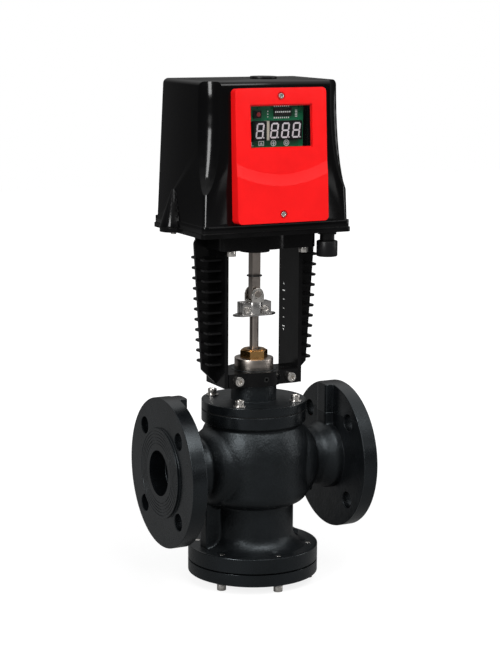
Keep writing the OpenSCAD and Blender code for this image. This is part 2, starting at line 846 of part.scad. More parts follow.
module packing_nut() {
  hex_d = packing_nut_flats / cos(30);
  color(brass) difference() {
    union() {
      up(packing_top_z) cylinder(d = packing_d, h = housing_top_z - packing_top_z);
      intersection() {
        up(housing_top_z) rotate([0, 0, packing_nut_turn])
          cylinder(d = hex_d, h = packing_nut_h, $fn = 6);
        up(housing_top_z)
          cylinder(d1 = hex_d + packing_nut_h, d2 = packing_nut_flats, h = packing_nut_h);
      }
      up(housing_top_z)
        cylinder(d = packing_nut_flats * nut_face_share, h = packing_nut_h + packing_nut_face_h);
    }
    up(packing_top_z - over) cylinder(d = stem_bore_d, h = neck_top_z);
    up(housing_top_z + packing_nut_h + packing_nut_face_h - wiper_h)
      cylinder(d = wiper_d, h = wiper_h + over);
  }
}

module stem_wiper() {
  color(black) up(housing_top_z + packing_nut_h + packing_nut_face_h - wiper_h)
    ring(wiper_d, stem_d + 2 * slide_fit, wiper_h);
}

// Valve plug on the end of the valve stem
plug_z = seat_top_z + gap + stroke / 2;
plug_top_z = plug_z + plug_head_h + plug_hub_h;
stem_foot_z = plug_z + plug_head_h / 2;
plug_pin_z = plug_z + plug_head_h + plug_hub_h / 2;
contour_d = seat_bore_d - 2 * gap;
stem_neck_share = 0.7;
stem_neck_d = stem_d * stem_neck_share;
stem_in_coupling_share = 0.8;

module plug_pin_hole(d, len) {
  translate([0, len / 2, plug_pin_z]) rotate([90, 0, 0]) cylinder(d = d, h = len);
}

module valve_stem() {
  color(steel) difference() {
    union() {
      up(stem_foot_z)
        cylinder(d = stem_d, h = coupling_z + coupling_h * stem_in_coupling_share - stem_foot_z);
      up(coupling_z) cylinder(d = stem_neck_d, h = coupling_h + clevis_t);
    }
    plug_pin_hole(plug_pin_d + 2 * fit, plug_hub_d);
  }
}

// Seating head, contoured skirt below it and hub above it.
contour_share = 0.55;

module valve_plug() {
  steps = 8;
  color(steel) difference() {
    union() {
      up(plug_z) rotate_extrude($fn = 96) polygon(concat(
        [[0, 0]],
        [[0, -plug_contour_h]],
        [for (i = [0:steps]) [contour_d / 2 * (contour_share + (1 - contour_share) * sqrt(i / steps)),
        plug_contour_h * (i / steps - 1)]]
      ));
      up(plug_z) cylinder(d = plug_head_d, h = plug_head_h);
      up(plug_z) cylinder(d = plug_hub_d, h = plug_head_h + plug_hub_h);
    }
    up(stem_foot_z) cylinder(d = stem_d + 2 * fit, h = plug_head_h + plug_hub_h);
    plug_pin_hole(plug_pin_d + 2 * fit, plug_hub_d + over);
  }
}

module plug_pin() {
  color(steel) plug_pin_hole(plug_pin_d, plug_hub_d);
}

// Stem coupling: two clamped halves, pointer plate below, clevis above
pointer_z = coupling_z - pointer_t;
pointer_tip_share = 0.3;
screw_up_share = 0.35;
sunk_share = 0.6;
coupling_screw_z = coupling_z + coupling_h * screw_up_share;
coupling_head_floor = coupling_depth / 2 - small_head_h * sunk_share;
coupling_nut_depth = coupling_depth / 4;
clevis_out_y = coupling_boss_d / 2;
clevis_top_r = clevis_w / 2;

module pointer_plate() {
  color(zinc) up(pointer_z) difference() {
    linear_extrude(pointer_t) polygon([
      [-pointer_len / 2, -pointer_w * pointer_tip_share / 2],
      [-pointer_len / 2, pointer_w * pointer_tip_share / 2],
      [-coupling_w / 2, pointer_w / 2], [coupling_w / 2, pointer_w / 2],
      [pointer_len / 2, pointer_w * pointer_tip_share / 2],
      [pointer_len / 2, -pointer_w * pointer_tip_share / 2],
      [coupling_w / 2, -pointer_w / 2], [-coupling_w / 2, -pointer_w / 2]
    ]);
    up(-over) cylinder(d = stem_d + 2 * fit, h = pointer_t + 2 * over);
  }
}

// One half of the coupling: side -1 is the front half with the screw heads.
module coupling_half(side) {
  hole_d = side < 0 ? small_screw_d + 2 * screw_play : small_screw_d + 2 * fit;
  color(zinc) difference() {
    union() {
      translate([-coupling_w / 2, side < 0 ? -coupling_depth / 2 : coupling_gap / 2, coupling_z])
        cube([coupling_w, (coupling_depth - coupling_gap) / 2, coupling_h]);
      intersection() {
        up(coupling_z) cylinder(d = coupling_boss_d, h = coupling_h);
        translate([-coupling_w / 2, side < 0 ? -coupling_boss_d : coupling_gap / 2, coupling_z])
          cube([coupling_w, coupling_boss_d - coupling_gap / 2, coupling_h]);
      }
    }
    up(coupling_z - over)
      cylinder(d = stem_d + 2 * fit, h = coupling_h * stem_in_coupling_share + over);
    up(coupling_z) cylinder(d = stem_neck_d + 2 * fit, h = coupling_h + over);
    for (x = [-coupling_screw_x, coupling_screw_x]) {
      translate([x, coupling_boss_d, coupling_screw_z]) rotate([90, 0, 0])
        cylinder(d = hole_d, h = 2 * coupling_boss_d);
      if (side < 0)
        translate([x, -coupling_head_floor, coupling_screw_z]) rotate([90, 0, 0])
          cylinder(d = small_head_d + 2 * screw_play, h = coupling_boss_d);
    }
  }
}

module coupling_front() {
  coupling_half(-1);
}

module coupling_rear() {
  coupling_half(1);
}

module coupling_screws() {
  color(steel) for (x = [-coupling_screw_x, coupling_screw_x])
    translate([x, -coupling_head_floor, coupling_screw_z]) rotate([90, 0, 0])
      socket_screw(small_screw_d, small_head_d, small_head_h, coupling_head_floor + coupling_depth / 2);
}

// Bent sheet with two round-topped ears.
clevis_foot_share = 0.9;
clevis_cheek_share = 0.82;

module clevis() {
  foot_w = clevis_w * clevis_foot_share;
  color(steel) difference() {
    union() {
      translate([-foot_w / 2, -clevis_out_y, coupling_top_z]) cube([foot_w, 2 * clevis_out_y, clevis_t]);
      for (y = [-clevis_out_y, clevis_out_y - clevis_t]) {
        translate([0, y + clevis_t, clevis_pin_z]) rotate([90, 0, 0])
          cylinder(r = clevis_top_r * clevis_cheek_share, h = clevis_t);
        translate([-foot_w / 2, y, coupling_top_z]) cube([foot_w, clevis_t, clevis_pin_z - coupling_top_z]);
      }
    }
    up(coupling_top_z - over) cylinder(d = stem_neck_d + 2 * fit, h = clevis_t + 2 * over);
    translate([0, 2 * clevis_out_y, clevis_pin_z]) rotate([90, 0, 0])
      cylinder(d = clevis_pin_d + 2 * fit, h = 4 * clevis_out_y);
  }
}

module clevis_pin() {
  head_d = clevis_pin_d * pin_head_share;
  head_t = clevis_t / 2;
  color(steel) {
    translate([0, clevis_out_y + head_t, clevis_pin_z]) rotate([90, 0, 0])
      cylinder(d = clevis_pin_d, h = 2 * clevis_out_y + head_t);
    translate([0, -clevis_out_y, clevis_pin_z]) rotate([90, 0, 0]) cylinder(d = head_d, h = head_t);
  }
}

// Gear levels in the head
pin_head_share = 1.25;
gear_space_share = 0.6;
bearing_share = 1.5;
gear_space = gear_t * gear_space_share;
level_a_z = gear_plate_z - gear_space - gear_t;
level_b_z = level_a_z - gear_space - gear_t;
bearing_h = 7;
bearing_wall = 5;
nut_d = rod_thread_d + 2 * gap + thread_lead;
nut_foot_d = rod_w * sqrt(2) + 2 * gap + 2 * thread_lead;
upper_bearing_d = nut_d + bearing_share * thread_lead;
shaft_d = 5;
crank_shaft_d = 8;
crank_neck_share = 0.75;
crank_neck_d = crank_shaft_d * crank_neck_share;

// Drive rod: square below, threaded above
rod_foot_z = clevis_pin_z - clevis_pin_d;
square_top_z = level_b_z - stroke / 2 - gap;
arm_z = gear_plate_top_z + stroke / 2 + thread_lead / 2;
arm_t = 3;
arm_hub_h = 2 * arm_t;
arm_w = 10;
arm_reach = 31;
rod_top_z = arm_z + arm_hub_h;
ring_groove_share = 0.85;
ring_slot_share = 0.7;
ring_groove_d = rod_w * ring_groove_share;

module drive_rod() {
  color(steel) difference() {
    union() {
      translate([-rod_w / 2, -rod_w / 2, rod_foot_z]) cube([rod_w, rod_w, square_top_z - rod_foot_z]);
      up(square_top_z) cylinder(d = rod_thread_d, h = rod_top_z - square_top_z);
    }
    up(ring_z) ring(2 * rod_w, ring_groove_d, ring_t);
    translate([0, rod_w, clevis_pin_z]) rotate([90, 0, 0])
      cylinder(d = clevis_pin_d + 2 * fit, h = 2 * rod_w);
  }
}

// Retaining ring with an open side.
module rod_ring() {
  color(dark_steel) up(ring_z) difference() {
    ring(ring_d, ring_groove_d, ring_t);
    translate([-ring_groove_d * ring_slot_share / 2, 0, -over])
      cube([ring_groove_d * ring_slot_share, ring_d, ring_t + 2 * over]);
  }
}

module travel_arm() {
  color(zinc) up(arm_z) difference() {
    union() {
      cylinder(d = rod_thread_d + bearing_share * thread_lead, h = arm_hub_h);
      translate([-arm_w / 2, -arm_reach, 0]) cube([arm_w, arm_reach, arm_t]);
    }
    up(-over) cylinder(d = rod_thread_d + 2 * fit, h = arm_hub_h + 2 * over);
  }
}

// Yoke: clamp, two finned legs and top plate in one casting
neck_hole_d = bonnet_neck_d + 2 * fit;
clamp_back = clamp_ring_d / 2;
web_shoulder_r = 8;
web_shoulder_z = top_plate_z + top_plate_t / 4;
web_slope = (web_top_reach - web_low_reach) / (web_shoulder_z - clamp_z);
leg_foot_share = 1.2;
leg_foot_chamfer = clamp_h * leg_foot_share;
fin_pitch = (top_plate_z - clamp_z - fin_foot_h) / fin_count;
fin_top_z = top_plate_z - fin_pitch;
fin_inset = 3;
fin_chamfer = 3;
top_plate_round = 8;
bush_flange_t = 6.5;
bush_flange_d = 33;
bush_body_d = 22;
head_hole_d = screw_d + 2 * screw_play;
clamp_hole_d = screw_d + 2 * fit;

function web_x(z) = web_low_reach + web_slope * (z - clamp_z);

module leg_web() {
  translate([0, web_t / 2, 0]) rotate([90, 0, 0]) linear_extrude(web_t) {
    polygon([
      [leg_inner + leg_t / 2, clamp_z], [web_low_reach, clamp_z + leg_foot_chamfer],
      [web_x(web_shoulder_z), web_shoulder_z],
      [web_x(web_shoulder_z) - web_shoulder_r, web_shoulder_z + web_shoulder_r],
      [top_plate_len / 2 - over, web_shoulder_z + web_shoulder_r], [leg_inner + leg_t / 2, top_plate_z]
    ]);
    translate([web_x(web_shoulder_z) - web_shoulder_r, web_shoulder_z]) circle(r = web_shoulder_r);
  }
}

module leg_fin(z) {
  reach = web_x(z) - fin_inset;
  up(z - fin_t / 2) linear_extrude(fin_t)
    polygon([
      [leg_inner + leg_t / 2, -fin_w / 2], [reach - fin_chamfer, -fin_w / 2],
      [reach, fin_chamfer - fin_w / 2],
      [reach, fin_w / 2 - fin_chamfer], [reach - fin_chamfer, fin_w / 2], [leg_inner + leg_t / 2, fin_w / 2]
    ]);
}

module yoke_leg() {
  translate([leg_inner, -leg_w / 2, clamp_z]) cube([leg_t, leg_w, top_plate_z - clamp_z + over]);
  leg_web();
  for (i = [0:fin_count - 1]) leg_fin(fin_top_z - i * fin_pitch);
}

module yoke() {
  color(iron_grey) difference() {
    union() {
      for (side = [0, 1]) mirror([side, 0, 0]) yoke_leg();
      up(top_plate_z) linear_extrude(top_plate_t)
        round_rect(top_plate_len, top_plate_w, top_plate_round);
      up(top_plate_z) cylinder(d = top_hub_d, h = top_plate_t, $fn = 96);
      translate([-leg_inner - over, -split_front, clamp_z])
        cube([2 * (leg_inner + over), 2 * split_front, clamp_h]);
      intersection() {
        up(clamp_z) cylinder(d = clamp_ring_d, h = clamp_h);
        translate([-clamp_back, -split_front, clamp_z])
          cube([2 * clamp_back, clamp_back + split_front, clamp_h]);
      }
    }
    up(clamp_z - over) cylinder(d = neck_hole_d, h = clamp_h + 2 * over);
    for (x = [-clamp_screw_x, clamp_screw_x])
      translate([x, split_front + over, clamp_mid_z]) rotate([90, 0, 0])
        cylinder(d = clamp_hole_d, h = 2 * split_front + 2 * over);
    up(top_plate_z - over) cylinder(d = bush_body_d + 2 * fit, h = top_plate_t + 2 * over);
    for (x = [-head_screw_x, head_screw_x], y = [-head_screw_y, head_screw_y])
      translate([x, y, top_plate_z - over]) cylinder(d = head_hole_d, h = top_plate_t + 2 * over);
  }
}

module clamp_cap() {
  cap_y = -split_front - split_gap;
  color(iron_grey) difference() {
    union() {
      translate([-clamp_half_w, -cap_front, clamp_z]) cube([2 * clamp_half_w, cap_front + cap_y, clamp_h]);
      intersection() {
        up(clamp_z) cylinder(d = clamp_ring_d, h = clamp_h);
        translate([-clamp_back, -clamp_back, clamp_z]) cube([2 * clamp_back, clamp_back + cap_y, clamp_h]);
      }
    }
    up(clamp_z - over) cylinder(d = neck_hole_d, h = clamp_h + 2 * over);
    for (x = [-clamp_screw_x, clamp_screw_x])
      translate([x, 0, clamp_mid_z]) rotate([90, 0, 0])
        cylinder(d = screw_d + 2 * screw_play, h = 2 * cap_front);
    up(clamp_mid_z) rotate([90, 0, 0]) cylinder(d = clamp_hole_d, h = clamp_ring_d);
  }
}

module clamp_screws() {
  color(steel) for (x = [-clamp_screw_x, clamp_screw_x])
    translate([x, -cap_front, clamp_mid_z]) rotate([90, 0, 0])
      socket_screw(screw_d, screw_head_d, screw_head_h, cap_front + split_front);
}

module set_screw() {
  len = (clamp_ring_d - neck_hole_d) / 2;
  color(dark_steel) translate([0, -bonnet_neck_d / 2 - fit, clamp_mid_z]) rotate([90, 0, 0]) difference() {
    cylinder(d = screw_d, h = len);
    up(len / 2) cylinder(d = screw_d * socket_share, h = len, $fn = 6);
  }
}

module rod_bush() {
  hole = rod_w + 2 * slide_fit;
  color(black) up(top_plate_z) difference() {
    union() {
      up(-bush_flange_t) cylinder(d = bush_flange_d, h = bush_flange_t);
      cylinder(d = bush_body_d, h = top_plate_t);
    }
    translate([-hole / 2, -hole / 2, -over - bush_flange_t])
      cube([hole, hole, top_plate_t + bush_flange_t + 2 * over]);
  }
}

module head_screws() {
  color(steel) for (x = [-head_screw_x, head_screw_x], y = [-head_screw_y, head_screw_y])
    translate([x, y, top_plate_z]) mirror([0, 0, 1])
      socket_screw(screw_d, screw_head_d, screw_head_h, top_plate_t + base_t);
}

// Gear places: the transfer gear meshes with the drive gear and with the crank's wheel
mesh_drive = tooth_m * (drive_teeth + small_teeth) / 2;
mesh_large = tooth_m * (large_teeth + small_teeth) / 2;
crank_reach = norm([crank_x, crank_y]);
crank_turn = atan2(crank_y, crank_x);
mesh_along = (mesh_drive * mesh_drive - mesh_large * mesh_large + crank_reach * crank_reach)
  / (2 * crank_reach);
transfer_turn = crank_turn + acos(mesh_along / mesh_drive);
transfer_x = mesh_drive * cos(transfer_turn);
transfer_y = mesh_drive * sin(transfer_turn);
motor_x = transfer_x - mesh_large;
motor_y = transfer_y;
to_crank = atan2(crank_y - transfer_y, crank_x - transfer_x);
wheel_step = 360 / large_teeth;
pinion_step = 360 / small_teeth;
motor_lag = (180 - to_crank) % wheel_step;

// A spur gear with a tooth centred on the angle turn.
addendum = 0.75;
dedendum = 1.15;
tooth_foot_share = 0.29;
tooth_tip_share = 0.12;

module gear(teeth, turn) {
  step = 360 / teeth;
  foot_r = tooth_m * (teeth / 2 - dedendum);
  tip_r = tooth_m * (teeth / 2 + addendum);
  rotate([0, 0, turn]) linear_extrude(gear_t) polygon([
    for (i = [0:teeth - 1], c = [[-tooth_foot_share, foot_r], [-tooth_tip_share, tip_r],
                                 [tooth_tip_share, tip_r], [tooth_foot_share, foot_r]])
      [c[1] * cos((i + c[0]) * step), c[1] * sin((i + c[0]) * step)]
  ]);
}

// Base plate of the head, with seats for the gear train
wall_inset = 2.5;
lip_inset = 1;
lug_x = base_len / 2 - wall_inset;
base_mid_y = (base_rear - base_front) / 2;
base_depth = base_front + base_rear;
base_round = cover_round;
bearing_seat_d = nut_foot_d + 2 * bearing_wall;
boss_wall = 3;
shaft_boss_h = 10;
pillar_d = 8;
pillar_x = 46;
pillar_front = 22;
pillar_rear = 56;
rod_way_d = rod_w * sqrt(2) + 4 * gap;
gland_thread_d = 16;

module at_pillars() {
  for (x = [-pillar_x, pillar_x], y = [-pillar_front, pillar_rear]) translate([x, y, 0]) children();
}

module base_outline(inset) {
  translate([0, base_mid_y]) round_rect(base_len - 2 * inset, base_depth - 2 * inset, base_round);
}

module base_plate() {
  color(zinc) difference() {
    union() {
      up(yoke_top_z) linear_extrude(base_t) base_outline(0);
      for (side = [-1, 1]) translate([side * lug_x, lug_y, yoke_top_z]) cylinder(r = lug_r, h = base_t);
      up(yoke_top_z) cylinder(d = bearing_seat_d + 2 * boss_wall, h = base_t + bearing_h);
      translate([transfer_x, transfer_y, yoke_top_z])
        cylinder(d = shaft_d + 2 * boss_wall, h = base_t + shaft_boss_h);
    }
    up(base_top_z) cylinder(d = bearing_seat_d, h = bearing_h + over);
    up(yoke_top_z - over) cylinder(d = rod_way_d, h = base_t + 2 * over);
    translate([transfer_x, transfer_y, base_top_z])
      cylinder(d = shaft_d + 2 * fit, h = shaft_boss_h + over);
    for (x = [-head_screw_x, head_screw_x], y = [-head_screw_y, head_screw_y])
      translate([x, y, yoke_top_z - over]) cylinder(d = clamp_hole_d, h = base_t + 2 * over);
    at_pillars() up(yoke_top_z - over) cylinder(d = small_screw_d + 2 * fit, h = base_t + 2 * over);
    for (side = [-1, 1])
      translate([side * lug_x, lug_y, yoke_top_z - over])
        cylinder(d = small_screw_d + 2 * screw_play, h = base_t + 2 * over);
    translate([gland_x, gland_y, yoke_top_z - over])
      cylinder(d = gland_thread_d + 2 * fit, h = base_t + 2 * over);
  }
}

module cover_gasket() {
  rim = 3 * cover_wall;
  color(black) up(base_top_z) linear_extrude(cover_gasket_t) difference() {
    union() {
      base_outline(lip_inset);
      for (side = [-1, 1]) translate([side * lug_x, lug_y]) circle(r = lug_r - lip_inset);
    }
    difference() {
      base_outline(rim);
      for (side = [-1, 1]) translate([side * lug_x, lug_y]) circle(r = lug_r - lip_inset);
    }
    for (side = [-1, 1]) translate([side * lug_x, lug_y]) circle(d = small_screw_d + 2 * screw_play);
  }
}

// Cover: leaning walls, scooped front corners and two screw lugs
lug_hole_depth = lug_h / 2;
cap_spigot_d = cap_d - cap_h;
cap_spigot_h = 3 * cover_wall;
cap_seat_depth = 4 * cover_wall;
cover_front = base_front - wall_inset;
cover_rear = base_rear - wall_inset;
scoop_z = cover_top_z - scoop_drop;
board_stand = 3;
board_margin = 3;
board_left = board_right - board_w;
board_z = window_mid_z - board_h / 2;
board_face_y = wall_y(window_mid_z) + cover_wall + board_stand;

// Outer face of the front wall at height z.
function wall_y(z) = end_lean * (z - cover_z) / (cover_h - cover_round) - cover_front;

module cover_block(inset) {
  hull() {
    for (x = [-1, 1], y = [cover_round - cover_front, cover_rear - cover_round])
      translate([x * (lug_x - cover_round), y, cover_z - inset])
        cylinder(r = cover_round - inset, h = inset + fit, $fn = 24);
    for (x = [-1, 1], y = [cover_round + end_lean - cover_front, cover_rear - end_lean - cover_round])
      translate([x * (lug_x - side_lean - cover_round), y, cover_top_z - cover_round])
        sphere(r = cover_round - inset, $fn = 24);
  }
}

module corner_scoop(side, grow) {
  steps = 10;
  translate([side * base_len / 2, -base_front + wall_inset, 0]) rotate_extrude($fn = 72) polygon(concat(
    [[0, cover_top_z + over]],
    [for (i = [0:steps]) [(scoop_r + grow) * sin(90 * i / steps),
    scoop_z - (scoop_end_h + grow) * cos(90 * i / steps)]],
    [[scoop_r + grow, cover_top_z + over]]
  ));
}

module at_board_corners() {
  for (x = [board_left + board_margin, board_right - board_margin],
    z = [board_z + board_margin, board_z + board_h - board_margin])
    translate([x, board_face_y, z]) children();
}

module at_panel_screws() {
  for (z = panel_screw_places) on_face(z) children();
}

module cover() {
  color(black) difference() {
    union() {
      difference() {
        union() {
          cover_block(0);
          up(cover_z) linear_extrude(lip_h) base_outline(lip_inset);
        }
        difference() {
          cover_block(cover_wall);
          for (side = [-1, 1]) corner_scoop(side, cover_wall);
        }
      }
      for (side = [-1, 1])
        translate([side * lug_x, lug_y, cover_z]) cylinder(r1 = lug_r, r2 = small_screw_d / 2, h = lug_h);
      translate([crank_x, crank_y, cover_top_z - cap_seat_depth])
        cylinder(d = cap_d + cover_wall, h = cap_seat_depth);
      intersection() {
        at_board_corners() rotate([90, 0, 0]) cylinder(r = board_margin, h = base_front);
        cover_block(cover_wall / 2);
      }
    }
    for (side = [-1, 1]) {
      corner_scoop(side, 0);
      translate([side * lug_x, lug_y, cover_z - over])
        cylinder(d = small_screw_d + 2 * fit, h = lug_hole_depth + over);
    }
    translate([crank_x, crank_y, cover_top_z - cap_seat_depth + cover_wall])
      cylinder(d = cap_spigot_d, h = cap_seat_depth);
    translate([crank_x, crank_y, cover_top_z - 2 * cap_seat_depth])
      cylinder(d = crank_shaft_d + 2 * fit, h = 2 * cap_seat_depth);
    translate([-window_w / 2, -base_front, window_z])
      cube([window_w, base_front + board_face_y - board_stand / 3, window_h]);
    at_board_corners() translate([0, over, 0]) rotate([90, 0, 0])
      cylinder(d = small_screw_d / 2 + 2 * fit, h = board_stand + over);
    at_panel_screws() up(-panel_reach) cylinder(d = small_screw_d + 2 * fit, h = panel_reach);
  }
}

module cover_screws() {
  color(steel) for (side = [-1, 1])
    translate([side * lug_x, lug_y, yoke_top_z]) mirror([0, 0, 1])
      cross_screw(small_screw_d, small_head_d, small_head_h,
        base_t + cover_gasket_t + lug_hole_depth * thread_depth_share);
}

// Front panel: a hollow hood with a curved step and a window
panel_round = 5;
face_top_y = wall_y(panel_top_z) - panel_top_depth;
face_foot_y = wall_y(panel_z) - panel_foot_depth + panel_step;
panel_lean = atan((face_top_y - face_foot_y) / panel_h);
panel_mid_z = (panel_z + panel_top_z) / 2;
panel_reach_share = 1.6;
panel_recess_share = 0.6;
panel_head_share = 0.8;
panel_reach = panel_foot_depth * panel_reach_share;
panel_recess = panel_wall * panel_recess_share;
panel_boss_d = small_head_d + 2 * panel_wall;
panel_screw_places = [panel_z + panel_screw_inset, panel_top_z - panel_screw_inset];
ledge = pane_t;
pane_sink = pane_t / 5;

// Upper face of the panel at height z.
function face_y(z) = face_foot_y + (face_top_y - face_foot_y) * (z - panel_z) / panel_h;

// Depth from the panel's face through the cover's wall at height z.
function screw_reach(z) = wall_y(z) - face_y(z) + cover_wall;

// Local +Z points out of the panel's face and local +Y up along it.
module on_face(z) {
  translate([0, face_y(z), z]) rotate([90 - panel_lean, 0, 0]) children();
}

// Everything in front of the cover's front wall.
module before_wall() {
  rotate([90, 0, 90]) up(-base_len / 2) linear_extrude(base_len)
    polygon([
      [wall_y(yoke_top_z) - fit, yoke_top_z], [wall_y(cover_top_z) - fit, cover_top_z],
      [-2 * base_front, cover_top_z], [-2 * base_front, yoke_top_z]
    ]);
}

module panel_prism(inset, back, front) {
  on_face(panel_mid_z) up(back) linear_extrude(front - back)
    round_rect(panel_w - 2 * inset, panel_h - 2 * inset, panel_round);
}

module front_panel() {
  color(red) difference() {
    intersection() {
      difference() {
        panel_prism(0, -panel_reach, panel_step);
        on_face(panel_z + step_up + step_r)
          cylinder(r1 = step_r, r2 = step_r + 2 * step_band, h = 2 * panel_step, $fn = 180);
      }
      before_wall();
    }
    difference() {
      panel_prism(panel_wall, -panel_reach, -panel_wall);
      at_panel_screws() up(-panel_reach) cylinder(d = panel_boss_d, h = panel_reach);
    }
    on_face(window_mid_z) {
      translate([-window_w / 2, -window_h / 2, -pane_t - pane_sink])
        cube([window_w, window_h, panel_wall + over]);
      translate([ledge - window_w / 2, ledge - window_h / 2, -panel_wall - over])
        cube([window_w - 2 * ledge, window_h - 2 * ledge, panel_wall + 2 * over]);
    }
    at_panel_screws() {
      up(-panel_reach) cylinder(d = small_screw_d + 2 * screw_play, h = panel_reach);
      up(-panel_recess) cylinder(d = small_head_d + 4 * screw_play, h = panel_recess + panel_step + over);
    }
  }
}

module panel_screws() {
  color(steel) for (z = panel_screw_places) on_face(z) up(-panel_recess)
    cross_screw(small_screw_d, small_head_d, small_head_h * panel_head_share, screw_reach(z) - panel_recess);
}

module window_pane() {
  color(clear_grey) on_face(window_mid_z)
    translate([fit - window_w / 2, fit - window_h / 2, -pane_t - pane_sink])
      cube([window_w - 2 * fit, window_h - 2 * fit, pane_t]);
}

// Circuit board behind the window, with its displays and parts
display_up_share = 0.4;
chip_share = 0.45;
lamp_share = 0.6;
display_z = window_z + digit_h * display_up_share;
single_x = display_in - window_w / 2;
chip_x = display_in - digit_h / 2;
divider_x = single_x + single_w;
triple_x = divider_x + divider_w;
chip_w = digit_h;
chip_h = digit_h * chip_share;
chip_t = divider_w;
lamp_w = digit_depth;
parts_z = display_z + digit_h + divider_w;

module circuit_board() {
  color(board_green) difference() {
    translate([board_left, board_face_y, board_z]) cube([board_w, board_t, board_h]);
    at_board_corners() translate([0, board_t + over, 0]) rotate([90, 0, 0])
      cylinder(d = small_screw_d / 2 + 2 * screw_play, h = board_t + 2 * over);
  }
}

module board_screws() {
  color(steel) at_board_corners() translate([0, board_t, 0]) rotate([-90, 0, 0])
    cross_screw(small_screw_d / 2, small_screw_d, small_screw_d / 3, board_t + board_stand);
}

module on_board(x, z) {
  translate([x, board_face_y, z]) rotate([90, 0, 0]) children();
}

module single_display() {
  color(black) on_board(single_x, display_z) cube([single_w, digit_h, digit_depth]);
}

module triple_display() {
  color(black) on_board(triple_x, display_z) cube([triple_w, digit_h, digit_depth]);
}

// Divider between the displays, controller chip, and status lamp in its square holder.
module board_parts() {
  color(pale) on_board(divider_x, display_z) cube([divider_w, digit_h, digit_depth]);
  color(dark_steel) on_board(chip_x, parts_z + chip_t / 2) cube([chip_w, chip_h, chip_t]);
  color(pale) on_board(divider_w + single_x, parts_z) {
    cube([lamp_w, lamp_w, chip_t]);
    translate([lamp_w / 2, lamp_w / 2, chip_t]) cylinder(d = lamp_w * lamp_share, h = chip_t / 2);
  }
}

// Cable gland under the base plate
gland_low_share = 0.35;
gland_seal_share = 0.5;
gland_neck_h = yoke_top_z - top_plate_z - gland_nut_h * gland_low_share;
gland_hex_h = gland_neck_h / 3;
gland_nut_z = yoke_top_z - gland_neck_h - gland_nut_h;
gland_seal_h = gland_nut_h * gland_seal_share;
gland_sleeve_h = gland_nut_h - gland_seal_h;
gland_clamp_d = (gland_thread_d + gland_bore_d) / 2;

module gland_body() {
  color(black) translate([gland_x, gland_y, 0]) difference() {
    union() {
      up(yoke_top_z - gland_hex_h) cylinder(d = gland_flats / cos(30), h = gland_hex_h, $fn = 6);
      up(gland_nut_z + gland_seal_h)
        cylinder(d = gland_thread_d, h = base_top_z + base_t - gland_nut_z - gland_seal_h);
    }
    up(gland_nut_z) cylinder(d = gland_bore_d, h = yoke_top_z);
  }
}

module gland_nut() {
  color(black) translate([gland_x, gland_y, gland_nut_z]) difference() {
    cylinder(d = gland_nut_d, h = gland_nut_h);
    up(gland_seal_h / 3) cylinder(d = gland_thread_d + 2 * fit, h = gland_nut_h);
    up(-over) cylinder(d = gland_clamp_d, h = gland_nut_h);
  }
}

module gland_seal() {
  color(dark_steel) translate([gland_x, gland_y, gland_nut_z + gland_seal_h / 3])
    ring(gland_thread_d, gland_bore_d, gland_seal_h * 2 / 3);
}

// Crank cap: slotted cap over the crank shaft
grip_floor_share = 0.3;

module crank_cap() {
  grip = cap_d / 2;
  color(black) translate([crank_x, crank_y, cover_top_z]) difference() {
    union() {
      up(fit) cylinder(d = cap_d, h = cap_h);
      up(-cap_spigot_h) cylinder(d = cap_spigot_d - 2 * slide_fit, h = cap_spigot_h + cap_h);
    }
    translate([-grip, -cap_h / 2, cap_h * grip_floor_share]) cube([2 * grip, cap_h, cap_h + over]);
    up(-cap_spigot_h - over) cylinder(d = cap_spigot_d - 2 * cover_wall, h = cap_spigot_h);
  }
}

// Gear plate on its pillars
gear_plate_round = 6;
gear_plate_edge = 6;

module gear_plate() {
  w = 2 * (pillar_x + gear_plate_edge);
  d = pillar_front + pillar_rear + 2 * gear_plate_edge;
  color(zinc) up(gear_plate_z) difference() {
    translate([0, (pillar_rear - pillar_front) / 2, 0]) linear_extrude(gear_plate_t)
      round_rect(w, d, gear_plate_round);
    up(-over) {
      cylinder(d = upper_bearing_d + 2 * fit, h = gear_plate_t + 2 * over);
      translate([crank_x, crank_y, 0]) cylinder(d = crank_neck_d + 2 * fit, h = gear_plate_t + 2 * over);
      translate([transfer_x, transfer_y, 0]) cylinder(d = shaft_d + 2 * fit, h = gear_plate_t + 2 * over);
      translate([motor_x, motor_y, 0]) cylinder(d = shaft_d + 2 * gap, h = gear_plate_t + 2 * over);
      at_pillars() cylinder(d = small_screw_d + 2 * fit, h = gear_plate_t + 2 * over);
    }
  }
}

module plate_pillars() {
  color(steel) at_pillars() {
    up(base_top_z) cylinder(d = pillar_d, h = gear_plate_z - base_top_z);
    up(yoke_top_z) cylinder(d = small_screw_d, h = gear_plate_top_z - yoke_top_z);
    up(gear_plate_top_z) cylinder(d = small_head_d, h = small_head_h * sunk_share);
  }
}

module motor() {
  color(steel) translate([motor_x, motor_y, gear_plate_top_z]) difference() {
    cylinder(d = motor_d, h = motor_h);
    up(-over) cylinder(d = shaft_d + 2 * fit, h = motor_h / 2 + over);
  }
}

module motor_pinion() {
  color(brass) translate([motor_x, motor_y, 0]) {
    up(level_a_z) gear(small_teeth, pinion_step / 2 + motor_lag * large_teeth / small_teeth);
    up(level_a_z) cylinder(d = shaft_d, h = gear_plate_top_z + motor_h / 3 - level_a_z);
  }
}

module transfer_gear() {
  color(steel) translate([transfer_x, transfer_y, 0]) {
    up(level_b_z) gear(small_teeth, transfer_turn + 180 + pinion_step / 2);
    up(level_a_z) gear(large_teeth, to_crank);
    up(level_b_z) cylinder(d = shaft_d + boss_wall, h = level_a_z - level_b_z);
    up(base_top_z + gap) cylinder(d = shaft_d, h = gear_plate_top_z - base_top_z - gap);
  }
}

crank_top_z = cover_top_z - cap_seat_depth + cover_wall + gap;

